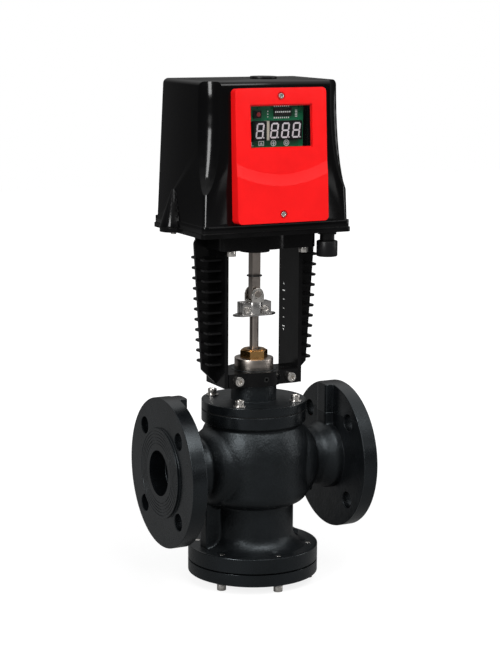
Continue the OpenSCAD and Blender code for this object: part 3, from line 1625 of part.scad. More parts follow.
module crank_shaft() {
  color(steel) translate([crank_x, crank_y, 0]) difference() {
    union() {
      up(level_a_z) gear(small_teeth, to_crank + 180 + pinion_step / 2);
      up(level_a_z) cylinder(d = crank_neck_d, h = gear_plate_top_z + 2 * gap - level_a_z);
      up(gear_plate_top_z + gap) cylinder(d = crank_shaft_d, h = crank_top_z - gear_plate_top_z - gap);
    }
    up(crank_top_z - crank_shaft_d)
      cylinder(d = crank_shaft_d * socket_share, h = 2 * crank_shaft_d, $fn = 6);
  }
}

// Nut that the rod's thread runs in, with the large drive gear on it.
module drive_nut() {
  nut_z = base_top_z + gap;
  color(brass) difference() {
    union() {
      up(nut_z) cylinder(d = nut_foot_d, h = level_b_z - nut_z);
      up(base_top_z + bearing_h + gap)
        cylinder(d = nut_foot_d + 2 * boss_wall, h = level_b_z - base_top_z - bearing_h - gap);
      up(level_b_z) gear(drive_teeth, transfer_turn);
      up(level_b_z) cylinder(d = nut_d, h = gear_plate_top_z - level_b_z);
    }
    up(base_top_z) cylinder(d = rod_w * sqrt(2) + 2 * gap, h = level_b_z - base_top_z);
    up(base_top_z) cylinder(d = rod_thread_d + 2 * slide_fit, h = gear_plate_top_z);
  }
}

module drive_bearings() {
  color(dark_steel) {
    up(base_top_z) ring(bearing_seat_d - 2 * fit, nut_foot_d + 2 * fit, bearing_h);
    up(gear_plate_z) ring(upper_bearing_d, nut_d + 2 * fit, gear_plate_t);
  }
}

// Two limit switches on a bracket beside the travel arm
switch_w = 11;
switch_d = 8;
switch_h = 6;
switch_x = arm_w / 2 + 4 * gap;
switch_y = -arm_reach + arm_w / 2;
bracket_t = 1.5;

module limit_switches() {
  color(dark_steel) for (z = [arm_z - stroke / 2, arm_z + stroke / 2])
    translate([switch_x, switch_y - switch_d / 2, z + arm_t / 2 - switch_h / 2]) {
      cube([switch_w, switch_d, switch_h]);
      translate([0, switch_d / 2, switch_h / 2]) rotate([0, -90, 0]) cylinder(d = arm_t / 2, h = 3 * gap);
    }
  color(zinc) translate([switch_x + switch_w, switch_y - switch_d / 2, gear_plate_top_z]) {
    cube([bracket_t, switch_d, arm_z + stroke / 2 + switch_h - gear_plate_top_z]);
    cube([switch_w, switch_d, bracket_t]);
  }
}

// Terminal block beside the cable entry
terminal_w = 40;
terminal_d = 13;
terminal_h = 14;
terminal_count = 5;
terminal_x = 12;
terminal_y = -48;

module terminal_block() {
  pitch = terminal_w / terminal_count;
  color(board_green) translate([terminal_x, terminal_y, base_top_z]) difference() {
    cube([terminal_w, terminal_d, terminal_h]);
    for (i = [0:terminal_count - 1])
      translate([(i + 1 / 2) * pitch, terminal_d / 2, terminal_h / 2])
        cylinder(d = pitch / 2, h = terminal_h);
  }
}

body_casting();
seat_ring();
bottom_gasket();
bottom_cover();
bottom_screws();
bottom_washers();
bonnet_gasket();
bonnet();
bonnet_screws();
bonnet_washers();
guide_bush();
packing_housing();
packing_rings();
disc_springs();
packing_nut();
stem_wiper();
valve_stem();
valve_plug();
plug_pin();
pointer_plate();
coupling_front();
coupling_rear();
coupling_screws();
clevis();
clevis_pin();
drive_rod();
rod_ring();
travel_arm();
yoke();
clamp_cap();
clamp_screws();
set_screw();
rod_bush();
head_screws();
base_plate();
cover_gasket();
cover();
cover_screws();
front_panel();
panel_screws();
window_pane();
circuit_board();
board_screws();
single_display();
triple_display();
board_parts();
gland_body();
gland_nut();
gland_seal();
crank_cap();
gear_plate();
plate_pillars();
motor();
motor_pinion();
transfer_gear();
crank_shaft();
drive_nut();
drive_bearings();
limit_switches();
terminal_block();
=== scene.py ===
"""Flanged two-way control valve: globe body, finned yoke and electric drive head.

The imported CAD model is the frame. Castings get blended corners and a cast surface, machined and moulded
parts get rounded edges, and every piece gets a procedural material.
"""

import json
import math

import bpy
from bpy.props import FloatProperty, FloatVectorProperty, IntProperty, PointerProperty
from mathutils import Matrix, Vector


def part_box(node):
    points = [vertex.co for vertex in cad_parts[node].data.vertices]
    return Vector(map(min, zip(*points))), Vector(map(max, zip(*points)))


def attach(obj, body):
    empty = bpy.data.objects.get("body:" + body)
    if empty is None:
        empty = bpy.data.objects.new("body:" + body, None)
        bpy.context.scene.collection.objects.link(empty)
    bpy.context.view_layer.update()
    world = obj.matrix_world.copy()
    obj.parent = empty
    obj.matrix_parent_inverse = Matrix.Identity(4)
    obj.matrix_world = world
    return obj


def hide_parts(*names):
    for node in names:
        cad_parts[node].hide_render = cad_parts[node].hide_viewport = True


bl_info = {
    "name": "Two-way control valve",
    "version": (1, 0, 0),
    "blender": (4, 5, 0),
    "location": "View3D > Sidebar > Valve",
    "description": "Dresses the packed control valve and sets its studio",
    "category": "Object",
}

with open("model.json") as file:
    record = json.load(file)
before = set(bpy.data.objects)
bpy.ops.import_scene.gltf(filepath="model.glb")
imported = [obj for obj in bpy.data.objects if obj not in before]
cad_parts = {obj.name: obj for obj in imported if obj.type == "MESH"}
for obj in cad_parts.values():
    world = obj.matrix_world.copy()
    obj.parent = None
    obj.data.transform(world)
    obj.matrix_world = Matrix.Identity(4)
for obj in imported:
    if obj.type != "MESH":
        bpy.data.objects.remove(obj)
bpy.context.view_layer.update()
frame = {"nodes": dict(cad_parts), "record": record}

MM = 0.001
BODY = "valve_and_head"
SIDES = (-1, 1)
MOUNTS = {mount["name"]: mount for mount in frame["record"]["mounts"]}
FLOW_Z = MOUNTS["inlet_bore"]["pos_m"][2]
MERGE = 0.01 * MM
CAD_MERGE = 0.002 * MM
ROUND_STEPS = 48


def size(name, default, text, low=0.0, high=1.0):
    """A length in metres, given here in millimetres."""
    return FloatProperty(
        name=name,
        description=text,
        default=default * MM,
        min=low,
        max=high,
        subtype="DISTANCE",
        unit="LENGTH",
    )


def share(name, default, text):
    return FloatProperty(
        name=name, description=text, default=default, min=0.0, max=1.0, subtype="FACTOR"
    )


def colour(name, default, text):
    return FloatVectorProperty(
        name=name, description=text, default=default, size=3, min=0, max=1, subtype="COLOR"
    )


def angle(name, default, text):
    return FloatProperty(name=name, description=text, default=math.radians(default), subtype="ANGLE")


def power(name, default, text):
    return FloatProperty(name=name, description=text, default=default, min=0.0, unit="POWER")


class ValveBodySettings(bpy.types.PropertyGroup):
    """Sizes of the cast body that the CAD node doesn't fix"""

    voxel: size("Cast grain", 1.25, "Cell in which the cast forms are blended")
    blend_passes: IntProperty(
        name="Blend passes", description="Smoothing of the cast corners", default=6, min=0
    )
    rim_edge: size("Rim edge", 0.7, "Rounding of the turned flange edges")


class ValveDigitSettings(bpy.types.PropertyGroup):
    """Light segments of the displays"""

    width: size("Digit width", 7.4, "Between the middles of the upright segments")
    height: size("Digit height", 14.6, "Between the middles of the level segments")
    stroke: size("Stroke", 1.7, "Width of a segment")
    lean: angle("Lean", 7, "Slant of the digits")


class ValveScaleSettings(bpy.types.PropertyGroup):
    """Travel scale on the yoke's right leg"""

    low: size("Low mark", 148.9, "Height over the pipe's axis")
    high: size("High mark", 189.0, "Height over the pipe's axis")
    face: size("Face", 42.6, "Inner face of the leg")
    depth: size("Depth", 11.5, "Behind the stem")


class ValveFinishSettings(bpy.types.PropertyGroup):
    """Colours of the painted, moulded and bare surfaces"""

    cast_black: colour("Cast black", (0.0030, 0.0036, 0.0042), "Paint on the castings")
    yoke_black: colour("Yoke black", (0.003, 0.003, 0.0032), "Enamel on the yoke")
    cover_black: colour("Cover black", (0.002, 0.002, 0.0022), "Plastic of the cover")
    panel_red: colour("Panel red", (0.90, 0.0085, 0.0095), "Plastic of the front panel")
    steel: colour("Steel", (0.78, 0.75, 0.71), "Screws and washers")
    satin: colour("Satin steel", (0.41, 0.365, 0.33), "Stem, rod and packing housing")
    brass: colour("Brass", (0.56, 0.32, 0.12), "Packing nut")


class ValveCameraSettings(bpy.types.PropertyGroup):
    """Place of the camera"""

    azimuth: angle("Azimuth", -26.86, "Turn about the stem from the front")
    elevation: angle("Elevation", 10.377, "Height over the horizon")
    roll: angle("Roll", 0.36, "Turn about the view")
    distance: size("Distance", 2017.5, "Camera to target", 0.1, 10.0)
    target_x: size("Target X", -4.955, "Target along the pipe", -1.0, 1.0)
    target_z: size("Target Z", 276.98, "Height of the target", 0.0, 1.0)
    lens: FloatProperty(
        name="Lens", description="Focal length", default=99.22, min=10, max=300, unit="CAMERA"
    )


class ValveStudioSettings(bpy.types.PropertyGroup):
    """Floor, lamps and surroundings"""

    floor: size("Floor", 8000, "Width of the floor", 1.0, 20.0)
    floor_white: colour("Floor colour", (0.19, 0.19, 0.19), "Floor")
    floor_glow: share("Floor glow", 0.84, "White of the floor round the object, to the camera")
    floor_gloss: share("Floor gloss", 0.05, "Share of that white in reflections")
    key: power("Key lamp", 34, "Soft box at the front left")
    fill: power("Fill lamp", 8, "Soft box at the right")
    top: power("Top lamp", 28, "Soft box overhead, before the object")
    front: power("Front lamp", 0.7, "Narrow soft box before the panel")
    ambient: share("Ambient", 0.42, "Light of the surroundings on the object")
    horizon: share("Horizon", 0.10, "Brightness of the room's walls in reflections")


# Mesh tools


def deselect():
    if bpy.context.object and bpy.context.object.mode != "OBJECT":
        bpy.ops.object.mode_set(mode="OBJECT")
    bpy.ops.object.select_all(action="DESELECT")


def activate(piece):
    deselect()
    piece.select_set(True)
    bpy.context.view_layer.objects.active = piece


def open_edit(piece, kind="VERT"):
    """Edit mode with everything selected."""
    activate(piece)
    bpy.ops.object.mode_set(mode="EDIT")
    bpy.ops.mesh.select_mode(type=kind)
    bpy.ops.mesh.select_all(action="SELECT")


def close_edit():
    bpy.ops.object.mode_set(mode="OBJECT")


def apply_modifier(piece, kind, **settings):
    activate(piece)
    modifier = piece.modifiers.new(kind.lower(), kind)
    for name, value in settings.items():
        setattr(modifier, name, value)
    bpy.ops.object.modifier_apply(modifier=modifier.name)


def combine(piece, other, operation):
    """A boolean with another piece, which is used up."""
    apply_modifier(piece, "BOOLEAN", operation=operation, object=other, solver="MANIFOLD")
    bpy.data.objects.remove(other)


def join(name, pieces):
    activate(pieces[0])
    for piece in pieces[1:]:
        piece.select_set(True)
    bpy.ops.object.join()
    pieces[0].name = name
    return pieces[0]


def smooth_by_angle(piece, degrees):
    activate(piece)
    bpy.ops.object.shade_smooth_by_angle(angle=math.radians(degrees))


def new_piece(name, points, edges=(), faces=()):
    mesh = bpy.data.meshes.new(name)
    mesh.from_pydata(points, edges, faces)
    piece = bpy.data.objects.new(name, mesh)
    bpy.context.collection.objects.link(piece)
    return piece


def round_corners(points, radii, steps):
    """A polyline whose inner corners are rounded to the given radii."""
    out = [Vector(points[0])]
    for before, here, after, radius in zip(points, points[1:], points[2:], radii):
        here = Vector(here)
        to_before = (Vector(before) - here).normalized()
        to_after = (Vector(after) - here).normalized()
        turn = to_before.angle(to_after)
        if radius <= 0 or turn > math.radians(179):
            out.append(here)
            continue
        reach = radius / math.tan(turn / 2)
        centre = here + (to_before + to_after).normalized() * (radius / math.sin(turn / 2))
        start = here + to_before * reach - centre
        end = here + to_after * reach - centre
        sweep = start.angle_signed(end)
        for i in range(steps + 1):
            a = -sweep * i / steps
            out.append(centre + Vector((
                start.x * math.cos(a) - start.y * math.sin(a),
                start.x * math.sin(a) + start.y * math.cos(a),
            )))
    out.append(Vector(points[-1]))
    return out


def turn_profile(piece, steps, centre, axis):
    """Turns a profile's edges into a closed shell that faces outwards."""
    open_edit(piece)
    bpy.ops.mesh.spin(steps=steps, angle=math.tau, center=centre, axis=axis)
    bpy.ops.mesh.select_all(action="SELECT")
    bpy.ops.mesh.remove_doubles(threshold=MERGE)
    bpy.ops.mesh.normals_make_consistent(inside=False)
    close_edit()


def chain(count):
    """The edges that join a row of points."""
    return [(i, i + 1) for i in range(count - 1)]


def spin(name, profile, along="Z", steps=96):
    """A closed shell turned from (radius, height) points about the stem, or about the pipe."""
    if along == "Z":
        points = [(radius, 0, height) for radius, height in profile]
        centre, axis = (0, 0, 0), (0, 0, 1)
    else:
        points = [(height, 0, FLOW_Z + radius) for radius, height in profile]
        centre, axis = (0, 0, FLOW_Z), (1, 0, 0)
    piece = new_piece(name, points, chain(len(points)))
    turn_profile(piece, steps, centre, axis)
    return piece


def block(name, low, high):
    """A box from one corner to the other, for booleans and blending."""
    low, high = Vector(low), Vector(high)
    deselect()
    bpy.ops.mesh.primitive_cube_add(size=1, location=(low + high) / 2, scale=high - low)
    piece = bpy.context.object
    piece.name = name
    bpy.ops.object.transform_apply()
    return piece


def rod(name, place, radius, length, axis="Z"):
    """A cylinder along the stem or the pipe, used as a cutter."""
    turn = {"Z": (0, 0, 0), "X": (0, math.pi / 2, 0)}[axis]
    deselect()
    bpy.ops.mesh.primitive_cylinder_add(
        vertices=ROUND_STEPS, radius=radius, depth=length, location=place, rotation=turn
    )
    piece = bpy.context.object
    piece.name = name
    bpy.ops.object.transform_apply()
    return piece


def copy_node(node):
    """A merged copy of a CAD node's loose triangles."""
    piece = frame["nodes"][node].copy()
    piece.data = piece.data.copy()
    piece.name = node + "_dressed"
    for key in list(piece.keys()):
        del piece[key]
    bpy.context.collection.objects.link(piece)
    piece.hide_render = False
    open_edit(piece)
    bpy.ops.mesh.remove_doubles(threshold=CAD_MERGE)
    close_edit()
    return piece


def dress(piece, look, *nodes, body=BODY, slot=None):
    """Gives a piece its material, its body and the CAD nodes it stands for."""
    piece.data.materials.clear()
    piece.data.materials.append(LOOKS[look])
    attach(piece, body)
    if nodes:
        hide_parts(*nodes)


FACING = -0.9  # what a normal's part along an axis stays under, for a face that looks against that axis
STEP_ANGLE = math.radians(3)


def crease_front(piece):
    """Keeps the shallow step on the front of a piece crisp in its shading."""
    normals = {}
    for face in piece.data.polygons:
        for key in face.edge_keys:
            normals.setdefault(key, []).append(face.normal)
    for edge in piece.data.edges:
        pair = normals.get(edge.key, [])
        if len(pair) != 2 or any(normal.y >= FACING for normal in pair):
            continue
        if pair[0].angle(pair[1]) > STEP_ANGLE:
            edge.use_edge_sharp = True


NUT_FACE = 1.0 * MM
NUT_HEIGHT = 8.6 * MM
NUT_HALF_FLATS = 13.52 * MM
NUT_INSIDE = 10 * MM
NUT_TURN = math.radians(-12)
NUT_CHAMFER = 1.6 * MM
NUT_TOP_RADIUS = 13.2 * MM
NUT_OVER = 0.2 * MM


def nut_hexagon():
    """The packing nut's hexagon with a slight chamfer, open in the middle, on the CAD nut's flats."""
    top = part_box("packing_nut")[1][2] - NUT_FACE
    foot = top - NUT_HEIGHT
    corner = NUT_HALF_FLATS / math.cos(math.radians(30))
    ring = [(NUT_INSIDE, foot), (corner, foot), (corner, top), (NUT_INSIDE, top), (NUT_INSIDE, foot)]
    hexagon = spin("nut_hexagon", ring, steps=6)
    hexagon.data.transform(Matrix.Rotation(NUT_TURN, 4, "Z"))
    cone = [
        (0, foot - MM),
        (corner + MM, foot - MM),
        (corner + MM, top - NUT_CHAMFER),
        (NUT_TOP_RADIUS, top + NUT_OVER),
        (0, top + NUT_OVER),
    ]
    combine(hexagon, spin("nut_cone", cone), "INTERSECT")
    return hexagon


FLAT_ANGLE = math.radians(0.5)
EDGE_DEGREES = 30


def soften(node, width, body):
    """Stands for a CAD node with a copy whose edges are rounded, by a width in millimetres."""
    piece = copy_node(node)
    if node == "packing_nut":
        combine(piece, nut_hexagon(), "UNION")
    open_edit(piece)
    bpy.ops.mesh.dissolve_limited(angle_limit=FLAT_ANGLE)
    close_edit()
    apply_modifier(
        piece,
        "BEVEL",
        width=width * MM,
        segments=2,
        limit_method="ANGLE",
        angle_limit=math.radians(EDGE_DEGREES),
        use_clamp_overlap=True,
    )
    smooth_by_angle(piece, EDGE_DEGREES)
    if node == "front_panel":
        crease_front(piece)
    if node in FLAT_FACED:
        apply_modifier(piece, "WEIGHTED_NORMAL", keep_sharp=True)
    dress(piece, LOOK_OF[node], node, body=body)


# Materials


class Value:
    """A socket in a Python expression: each operation adds a Math node."""

    def __init__(self, tree, socket):
        self.tree = tree
        self.socket = socket

    def math(self, operation, *others):
        return self.tree.node("ShaderNodeMath", {"operation": operation}, dict(enumerate((self, *others))))

    def __add__(self, other):
        return self.math("ADD", other)

    __radd__ = __add__

    def __sub__(self, other):
        return self.math("SUBTRACT", other)

    def __rsub__(self, other):
        return (self * -1.0) + other

    def __mul__(self, other):
        return self.math("MULTIPLY", other)

    __rmul__ = __mul__

    def step(self, low, high):
        """0 below low, 1 above high, smooth between."""
        return self.tree.node(
            "ShaderNodeMapRange",
            {"interpolation_type": "SMOOTHSTEP"},
            {"Value": self, "From Min": low, "From Max": high},
        )


class Tree:
    """A node tree, filled through one method."""

    def __init__(self, tree):
        self.tree = tree

    def put(self, socket, value):
        if isinstance(value, Value):
            self.tree.links.new(value.socket, socket)
        elif socket.type == "RGBA":
            socket.default_value = (*value[:3], 1.0)
        else:
            socket.default_value = value

    def node(self, kind, settings=None, inputs=None, output=0):
        node = self.tree.nodes.new(kind)
        for name, value in (settings or {}).items():
            setattr(node, name, value)
        for name, value in (inputs or {}).items():
            self.put(node.inputs[name], value)
        return Value(self, node.outputs[output])

    def ray(self, output):
        """1 for rays of one kind, 0 for others."""
        return self.node("ShaderNodeLightPath", output=output)


class Look(Tree):
    """A procedural material on one Principled shader."""

    def __init__(self, name, sockets):
        self.material = bpy.data.materials.new(name)
        self.material.use_nodes = True
        super().__init__(self.material.node_tree)
        self.shader = self.tree.nodes["Principled BSDF"]
        self.relief = None
        self.place = self.node("ShaderNodeTexCoord", output="Object")
        for socket, value in sockets.items():
            self.put(self.shader.inputs[socket], value)

    def set(self, socket, value):
        self.put(self.shader.inputs[socket], value)
        return self

    def noise(self, scale, detail=3.0, rough=0.5, stretch=None):
        vector = self.place
        if stretch:
            vector = self.node("ShaderNodeMapping", inputs={"Vector": vector, "Scale": stretch})
        inputs = {"Vector": vector, "Scale": scale, "Detail": detail, "Roughness": rough}
        return self.node("ShaderNodeTexNoise", inputs=inputs)

    def axes(self, names):
        """The named coordinates of the place."""
        return [
            self.node("ShaderNodeSeparateXYZ", inputs={0: self.place}, output=axis) for axis in names
        ]

    def mix(self, factor, low, high):
        return self.node("ShaderNodeMix", {"data_type": "RGBA"}, {0: factor, 6: low, 7: high}, output=2)

    def worn(self, base):
        """Uneven paint colour; gives back a noise for its gloss."""
        wear = self.noise(26, 5, 0.65)
        gloss = self.noise(70, 4, 0.6)
        self.set("Base Color", self.mix(wear.step(0.32, 0.72), tint(base, 0.7), tint(base, 1.6)))
        return gloss

    def bump(self, height, depth):
        """Relief of a height socket, to a depth in millimetres."""
        inputs = {"Height": height, "Distance": depth * MM}
        if self.relief:
            inputs["Normal"] = self.relief
        self.relief = self.node("ShaderNodeBump", inputs=inputs)
        return self.set("Normal", self.relief)


def tint(base, factor):
    """A colour made darker or lighter."""
    return tuple(min(1.0, part * factor) for part in base)


def enamel(name, base, roughness, specular):
    """Enamel: uneven colour and gloss over lumps of the mould and a fine grain."""
    look = Look(name, {"Base Color": base, "Roughness": roughness, "Specular IOR Level": specular})
    gloss = look.worn(base)
    look.set("Roughness", gloss * 0.24 + (roughness - 0.12))
    look.bump(look.noise(85, 3, 0.55), 0.1)
    return look.bump(look.noise(500, 4, 0.6), 0.04).material


# Where the casting is turned smooth: steps along the pipe, from the stem, and over the pipe's axis
TURNED_ALONG = (0.0955, 0.0962)
TURNED_BASE = (0.0702, 0.0715)
TURNED_BASE_TOP = (-0.0915, -0.0905)
TURNED_TOP = (0.0560, 0.0570)
TURNED_TOP_FOOT = (0.0490, 0.0500)


def cast_paint(name, base):
    """Glossy paint on a sand casting whose flanges are turned smooth."""
    look = Look(name, {"Base Color": base, "Roughness": 0.4, "Specular IOR Level": 0.43})
    look.set("Specular Tint", (0.84, 0.94, 1.0))
    x, y, z = look.axes("XYZ")
    height = z - FLOW_Z
    from_stem = (x * x + y * y).math("SQRT")
    base_rim = from_stem.step(*TURNED_BASE) * (1.0 - height.step(*TURNED_BASE_TOP))
    top_rim = from_stem.step(*TURNED_TOP) * height.step(*TURNED_TOP_FOOT)
    turned = x.math("ABSOLUTE").step(*TURNED_ALONG)
    cast = 1.0 - turned.math("MAXIMUM", base_rim).math("MAXIMUM", top_rim)
    gloss = look.worn(base)
    look.set("Roughness", gloss * 0.2 + cast * 0.14 + 0.16)
    look.bump(look.noise(90, 3, 0.55) * cast, 0.6)
    return look.bump(look.noise(430, 4, 0.65) * (cast * 0.85 + 0.15), 0.3).material


def moulded(name, base, roughness, peel_depth, specular=0.5):
    """Moulded plastic with a faint orange peel."""
    look = Look(name, {"Base Color": base, "Roughness": roughness, "Specular IOR Level": specular})
    haze = look.noise(16, 4, 0.6)
    look.set("Base Color", look.mix(haze.step(0.3, 0.7), tint(base, 0.94), tint(base, 1.05)))
    look.set("Roughness", haze * 0.12 + (roughness - 0.06))
    return look.bump(look.noise(130, 2, 0.5), peel_depth).material


def bare_metal(name, base, roughness, stretch=(1, 1, 14)):
    """Turned or drawn metal: fine lines in gloss and relief over a slight mottle."""
    look = Look(name, {"Base Color": base, "Roughness": roughness, "Metallic": 1.0})
    lines = look.noise(900, 3, 0.6, stretch)
    mottle = look.noise(60, 3, 0.6)
    tone = (lines * 0.5 + mottle * 0.5).step(0.3, 0.7)
    look.set("Base Color", look.mix(tone, tint(base, 0.86), tint(base, 1.1)))
    look.set("Roughness", mottle * 0.12 + (roughness - 0.06))
    return look.bump(lines, 0.006).material


def rubber():
    """Dull black rubber."""
    base = (0.006, 0.006, 0.006)
    look = Look("rubber", {"Base Color": base, "Roughness": 0.6, "Specular IOR Level": 0.2})
    grain = look.noise(500, 3, 0.6)
    look.set("Roughness", grain * 0.25 + 0.45)
    return look.bump(grain, 0.05).material


def circuit_green():
    """Solder mask over copper tracks."""
    look = Look("circuit_green", {"Base Color": (0.004, 0.11, 0.045), "Roughness": 0.3})
    tracks = look.node(
        "ShaderNodeTexVoronoi", {"distance": "MANHATTAN"}, {"Vector": look.place, "Scale": 420.0}
    )
    tone = look.mix(tracks.step(0.25, 0.45), (0.004, 0.10, 0.042), (0.010, 0.20, 0.085))
    look.set("Base Color", tone)
    look.set("Roughness", look.noise(160, 2, 0.5) * 0.2 + 0.2)
    return look.bump(tracks, 0.03).material


# The status lamp's middle from the board parts' left and top, its radius, and an edge between colours
LAMP_IN = 4 * MM
LAMP_DOWN = 6.5 * MM
LAMP_RIM = (2.1 * MM, 2.4 * MM)
COLOUR_EDGE = 0.1 * MM


def board_plastics():
    """Beige divider, black chip and a lamp with a red dome, told apart by their place."""
    look = Look("board_plastics", {"Roughness": 0.35})
    low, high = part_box("board_parts")
    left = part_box("single_display")[1][0]
    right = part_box("triple_display")[0][0]
    x, z = look.axes("XZ")
    divider = x.step(left - COLOUR_EDGE, left) * (1.0 - x.step(right, right + COLOUR_EDGE))
    across = x - (low[0] + LAMP_IN)
    up = z - (high[2] - LAMP_DOWN)
    lamp = 1.0 - (across * across + up * up).math("SQRT").step(*LAMP_RIM)
    grain = look.noise(700, 3, 0.6)
    dark = look.mix(grain, (0.006, 0.005, 0.005), (0.013, 0.011, 0.011))
    plastic = look.mix(divider, dark, (0.42, 0.38, 0.31))
    look.set("Base Color", look.mix(lamp, plastic, (0.42, 0.03, 0.04)))
    look.set("Roughness", grain * 0.2 + 0.25)
    return look.bump(grain, 0.03).material


def print_with_painted_glow(name, base):
    """Ink or a moulded light segment with a slight grain, given a faint painted glow in its own colour so
    that it looks lit.
    """
    # Emission in the ink's own colour: a painted glow, the piece is no lamp
    look = Look(name, {"Base Color": base, "Roughness": 0.5, "Emission Strength": 0.22})
    grain = look.noise(900, 3, 0.6)
    tone = look.mix(grain.step(0.3, 0.7), tint(base, 0.85), tint(base, 1.08))
    look.set("Base Color", tone).set("Emission Color", tone)
    return look.bump(grain, 0.01).material


def clear_pane():
    """Clear plastic with a faint wave."""
    base = (0.02, 0.02, 0.02)
    look = Look("window_clear", {"Base Color": base, "Roughness": 0.03, "Alpha": 0.05})
    return look.bump(look.noise(60, 2, 0.5), 0.01).material


def white_seal():
    """Packing and seals of white plastic."""
    look = Look("seal_white", {"Base Color": (0.8, 0.79, 0.75), "Roughness": 0.5})
    return look.bump(look.noise(500, 3, 0.6), 0.04).material


LOOKS = {}

LOOK_OF_SLOT = {
    "cast_iron": "cast",
    "yoke_paint": "yoke",
    "steel": "steel",
    "zinc": "zinc",
    "dark_steel": "dark",
    "brass": "brass",
    "rubber": "rubber",
    "packing": "seal",
    "black_gloss": "cover",
    "black_plastic": "nylon",
    "red_gloss": "red",
    "window": "pane",
    "board": "circuit",
    "display": "nylon",
}

LOOK_OF = {
    part["node"]: LOOK_OF_SLOT[part["material_slot"]] for part in frame["record"]["subparts"]
}
LOOK_OF.update(
    packing_housing="satin",
    valve_stem="satin",
    drive_rod="satin",
    clevis_pin="satin",
    board_parts="parts",
)


class VALVE_OT_finishes(bpy.types.Operator):
    """Make the materials and put them on the CAD nodes"""

    bl_idname = "valve.finishes"
    bl_label = "Finishes"

    def execute(self, context):
        finish = context.scene.valve_finish
        LOOKS.update(
            cast=cast_paint("cast_paint", finish.cast_black),
            yoke=enamel("yoke_enamel", finish.yoke_black, 0.17, 0.16),
            cover=moulded("cover_plastic", finish.cover_black, 0.13, 0.03, 0.2),
            red=moulded("panel_plastic", finish.panel_red, 0.13, 0.012),
            nylon=moulded("black_nylon", (0.005, 0.005, 0.0055), 0.36, 0.05, 0.25),
            steel=bare_metal("bare_steel", finish.steel, 0.26),
            satin=bare_metal("satin_steel", finish.satin, 0.36),
            zinc=bare_metal("zinc_plate", (0.52, 0.505, 0.49), 0.27, (5, 5, 5)),
            dark=bare_metal("dark_steel", (0.06, 0.06, 0.06), 0.34),
            brass=bare_metal("brass", finish.brass, 0.24, (1, 1, 8)),
            rubber=rubber(),
            circuit=circuit_green(),
            parts=board_plastics(),
            # Display segments, pins, board print and travel marks get a faint painted glow
            segment=print_with_painted_glow("segment_grey", (0.52, 0.48, 0.51)),
            silk=print_with_painted_glow("silk_white", (0.9, 0.92, 0.9)),
            pane=clear_pane(),
            seal=white_seal(),
        )
        for name, node in frame["nodes"].items():
            for slot in node.material_slots:
                slot.material = LOOKS[LOOK_OF[name]]
        return {"FINISHED"}


# Cast body: radii from the stem or the pipe, heights over the pipe's axis and distances along it, in metres

TOP_FLANGE = (0.0494, 0.0624, 0.0578)  # low, high, radius
BASE_FLANGE = (-0.1075, -0.0911, 0.0724)  # low, high, radius
CAST_STEPS = 8
RIM_STEPS = 128
EDGE_STEPS = 3

BARREL_RADIUS = 0.062
BARREL_FOOT = -0.042
BARREL_ROUND = 0.016
SHOULDER_FOOT = 0.01
SHOULDER_UNDER = 0.004
SHOULDER_STEPS = 10
THROAT_RADIUS = 0.053
COLLAR = (0.0495, 0.052, 0.0575)  # low, high, radius
LYING_RADIUS = 0.046
LYING_HALF = 0.066
LYING_ROUND = 0.022


def over_flow(profile):
    """Puts heights over the pipe's axis over the valve's foot."""
    return [(radius, FLOW_Z + height) for radius, height in profile]


def on_side(profile, side):
    """Puts distances along the pipe on one side of the stem."""
    return [(radius, side * along) for radius, along in profile]


def shoulder_points(radius, throat, start, end):
    """The barrel's arc from its straight side in to the throat."""
    inset = radius - throat
    rise = end - start
    arc = (inset * inset + rise * rise) / (2 * inset)
    reach = math.asin(rise / arc)
    points = []
    for i in range(SHOULDER_STEPS + 1):
        turn = reach * i / SHOULDER_STEPS
        points.append((radius - arc + arc * math.cos(turn), start + arc * math.sin(turn)))
    return points


def cast_core(inset=0.0):
    """The cast forms of the body before blending, or the forms of its chambers when inset."""
    radius, foot = BARREL_RADIUS - inset, BARREL_FOOT + inset
    barrel = round_corners(
        [(0, foot), (radius, foot), (radius, SHOULDER_FOOT)], [BARREL_ROUND - inset / 2], CAST_STEPS
    )
    top = TOP_FLANGE[0] - SHOULDER_UNDER
    barrel += shoulder_points(radius, THROAT_RADIUS - inset, SHOULDER_FOOT, top)[1:]
    low, high, collar = COLLAR
    barrel += [(collar - inset, low), (collar - inset, high), (0, high)]
    upright = spin("upright_barrel", over_flow(barrel))
    half, around = LYING_HALF - inset, LYING_RADIUS - inset
    lying = round_corners(
        [(0, -half), (around, -half), (around, half), (0, half)], [LYING_ROUND - inset / 2] * 2, CAST_STEPS
    )
    return [upright, spin("lying_barrel", lying, "X")]


PIPE_NECK = [(0, 0.03), (0.032, 0.03), (0.032, 0.0765), (0.0382, 0.0875), (0.0382, 0.098), (0, 0.098)]
PIPE_NECK_ROUNDS = [0, 0.012, 0.009, 0]


def pipe_neck(side):
    """Neck and flare up to the back of a pipe flange."""
    profile = round_corners(PIPE_NECK, PIPE_NECK_ROUNDS, CAST_STEPS)
    return spin("pipe_neck", on_side(profile, side), "X")


LOWER_NECK_RADIUS = 0.045
LOWER_NECK_TOP = -0.02
LOWER_FILLET = 0.015
LOWER_FILLET_STEPS = 10
LOWER_PLATE_RADIUS = 0.0605
LOWER_PLATE_SUNK = 0.006
LOWER_PLATE_PROUD = 0.0004

BASE_SCREWS = 6
BASE_CIRCLE = 0.062
BASE_SCREW_TURN = 30
POCKET_RADIUS = 0.0085
POCKET_DEPTH = 0.020
POCKET_RISE = 0.010
BASE_HOLE_RADIUS = 0.0033
BASE_HOLE_EDGE = 0.0004


def base_screw_places(up):
    """The bottom screws' places at a height over the valve's foot."""
    for i in range(BASE_SCREWS):
        turn = math.radians(BASE_SCREW_TURN + 360 / BASE_SCREWS * i)
        yield (BASE_CIRCLE * math.cos(turn), BASE_CIRCLE * math.sin(turn), up)


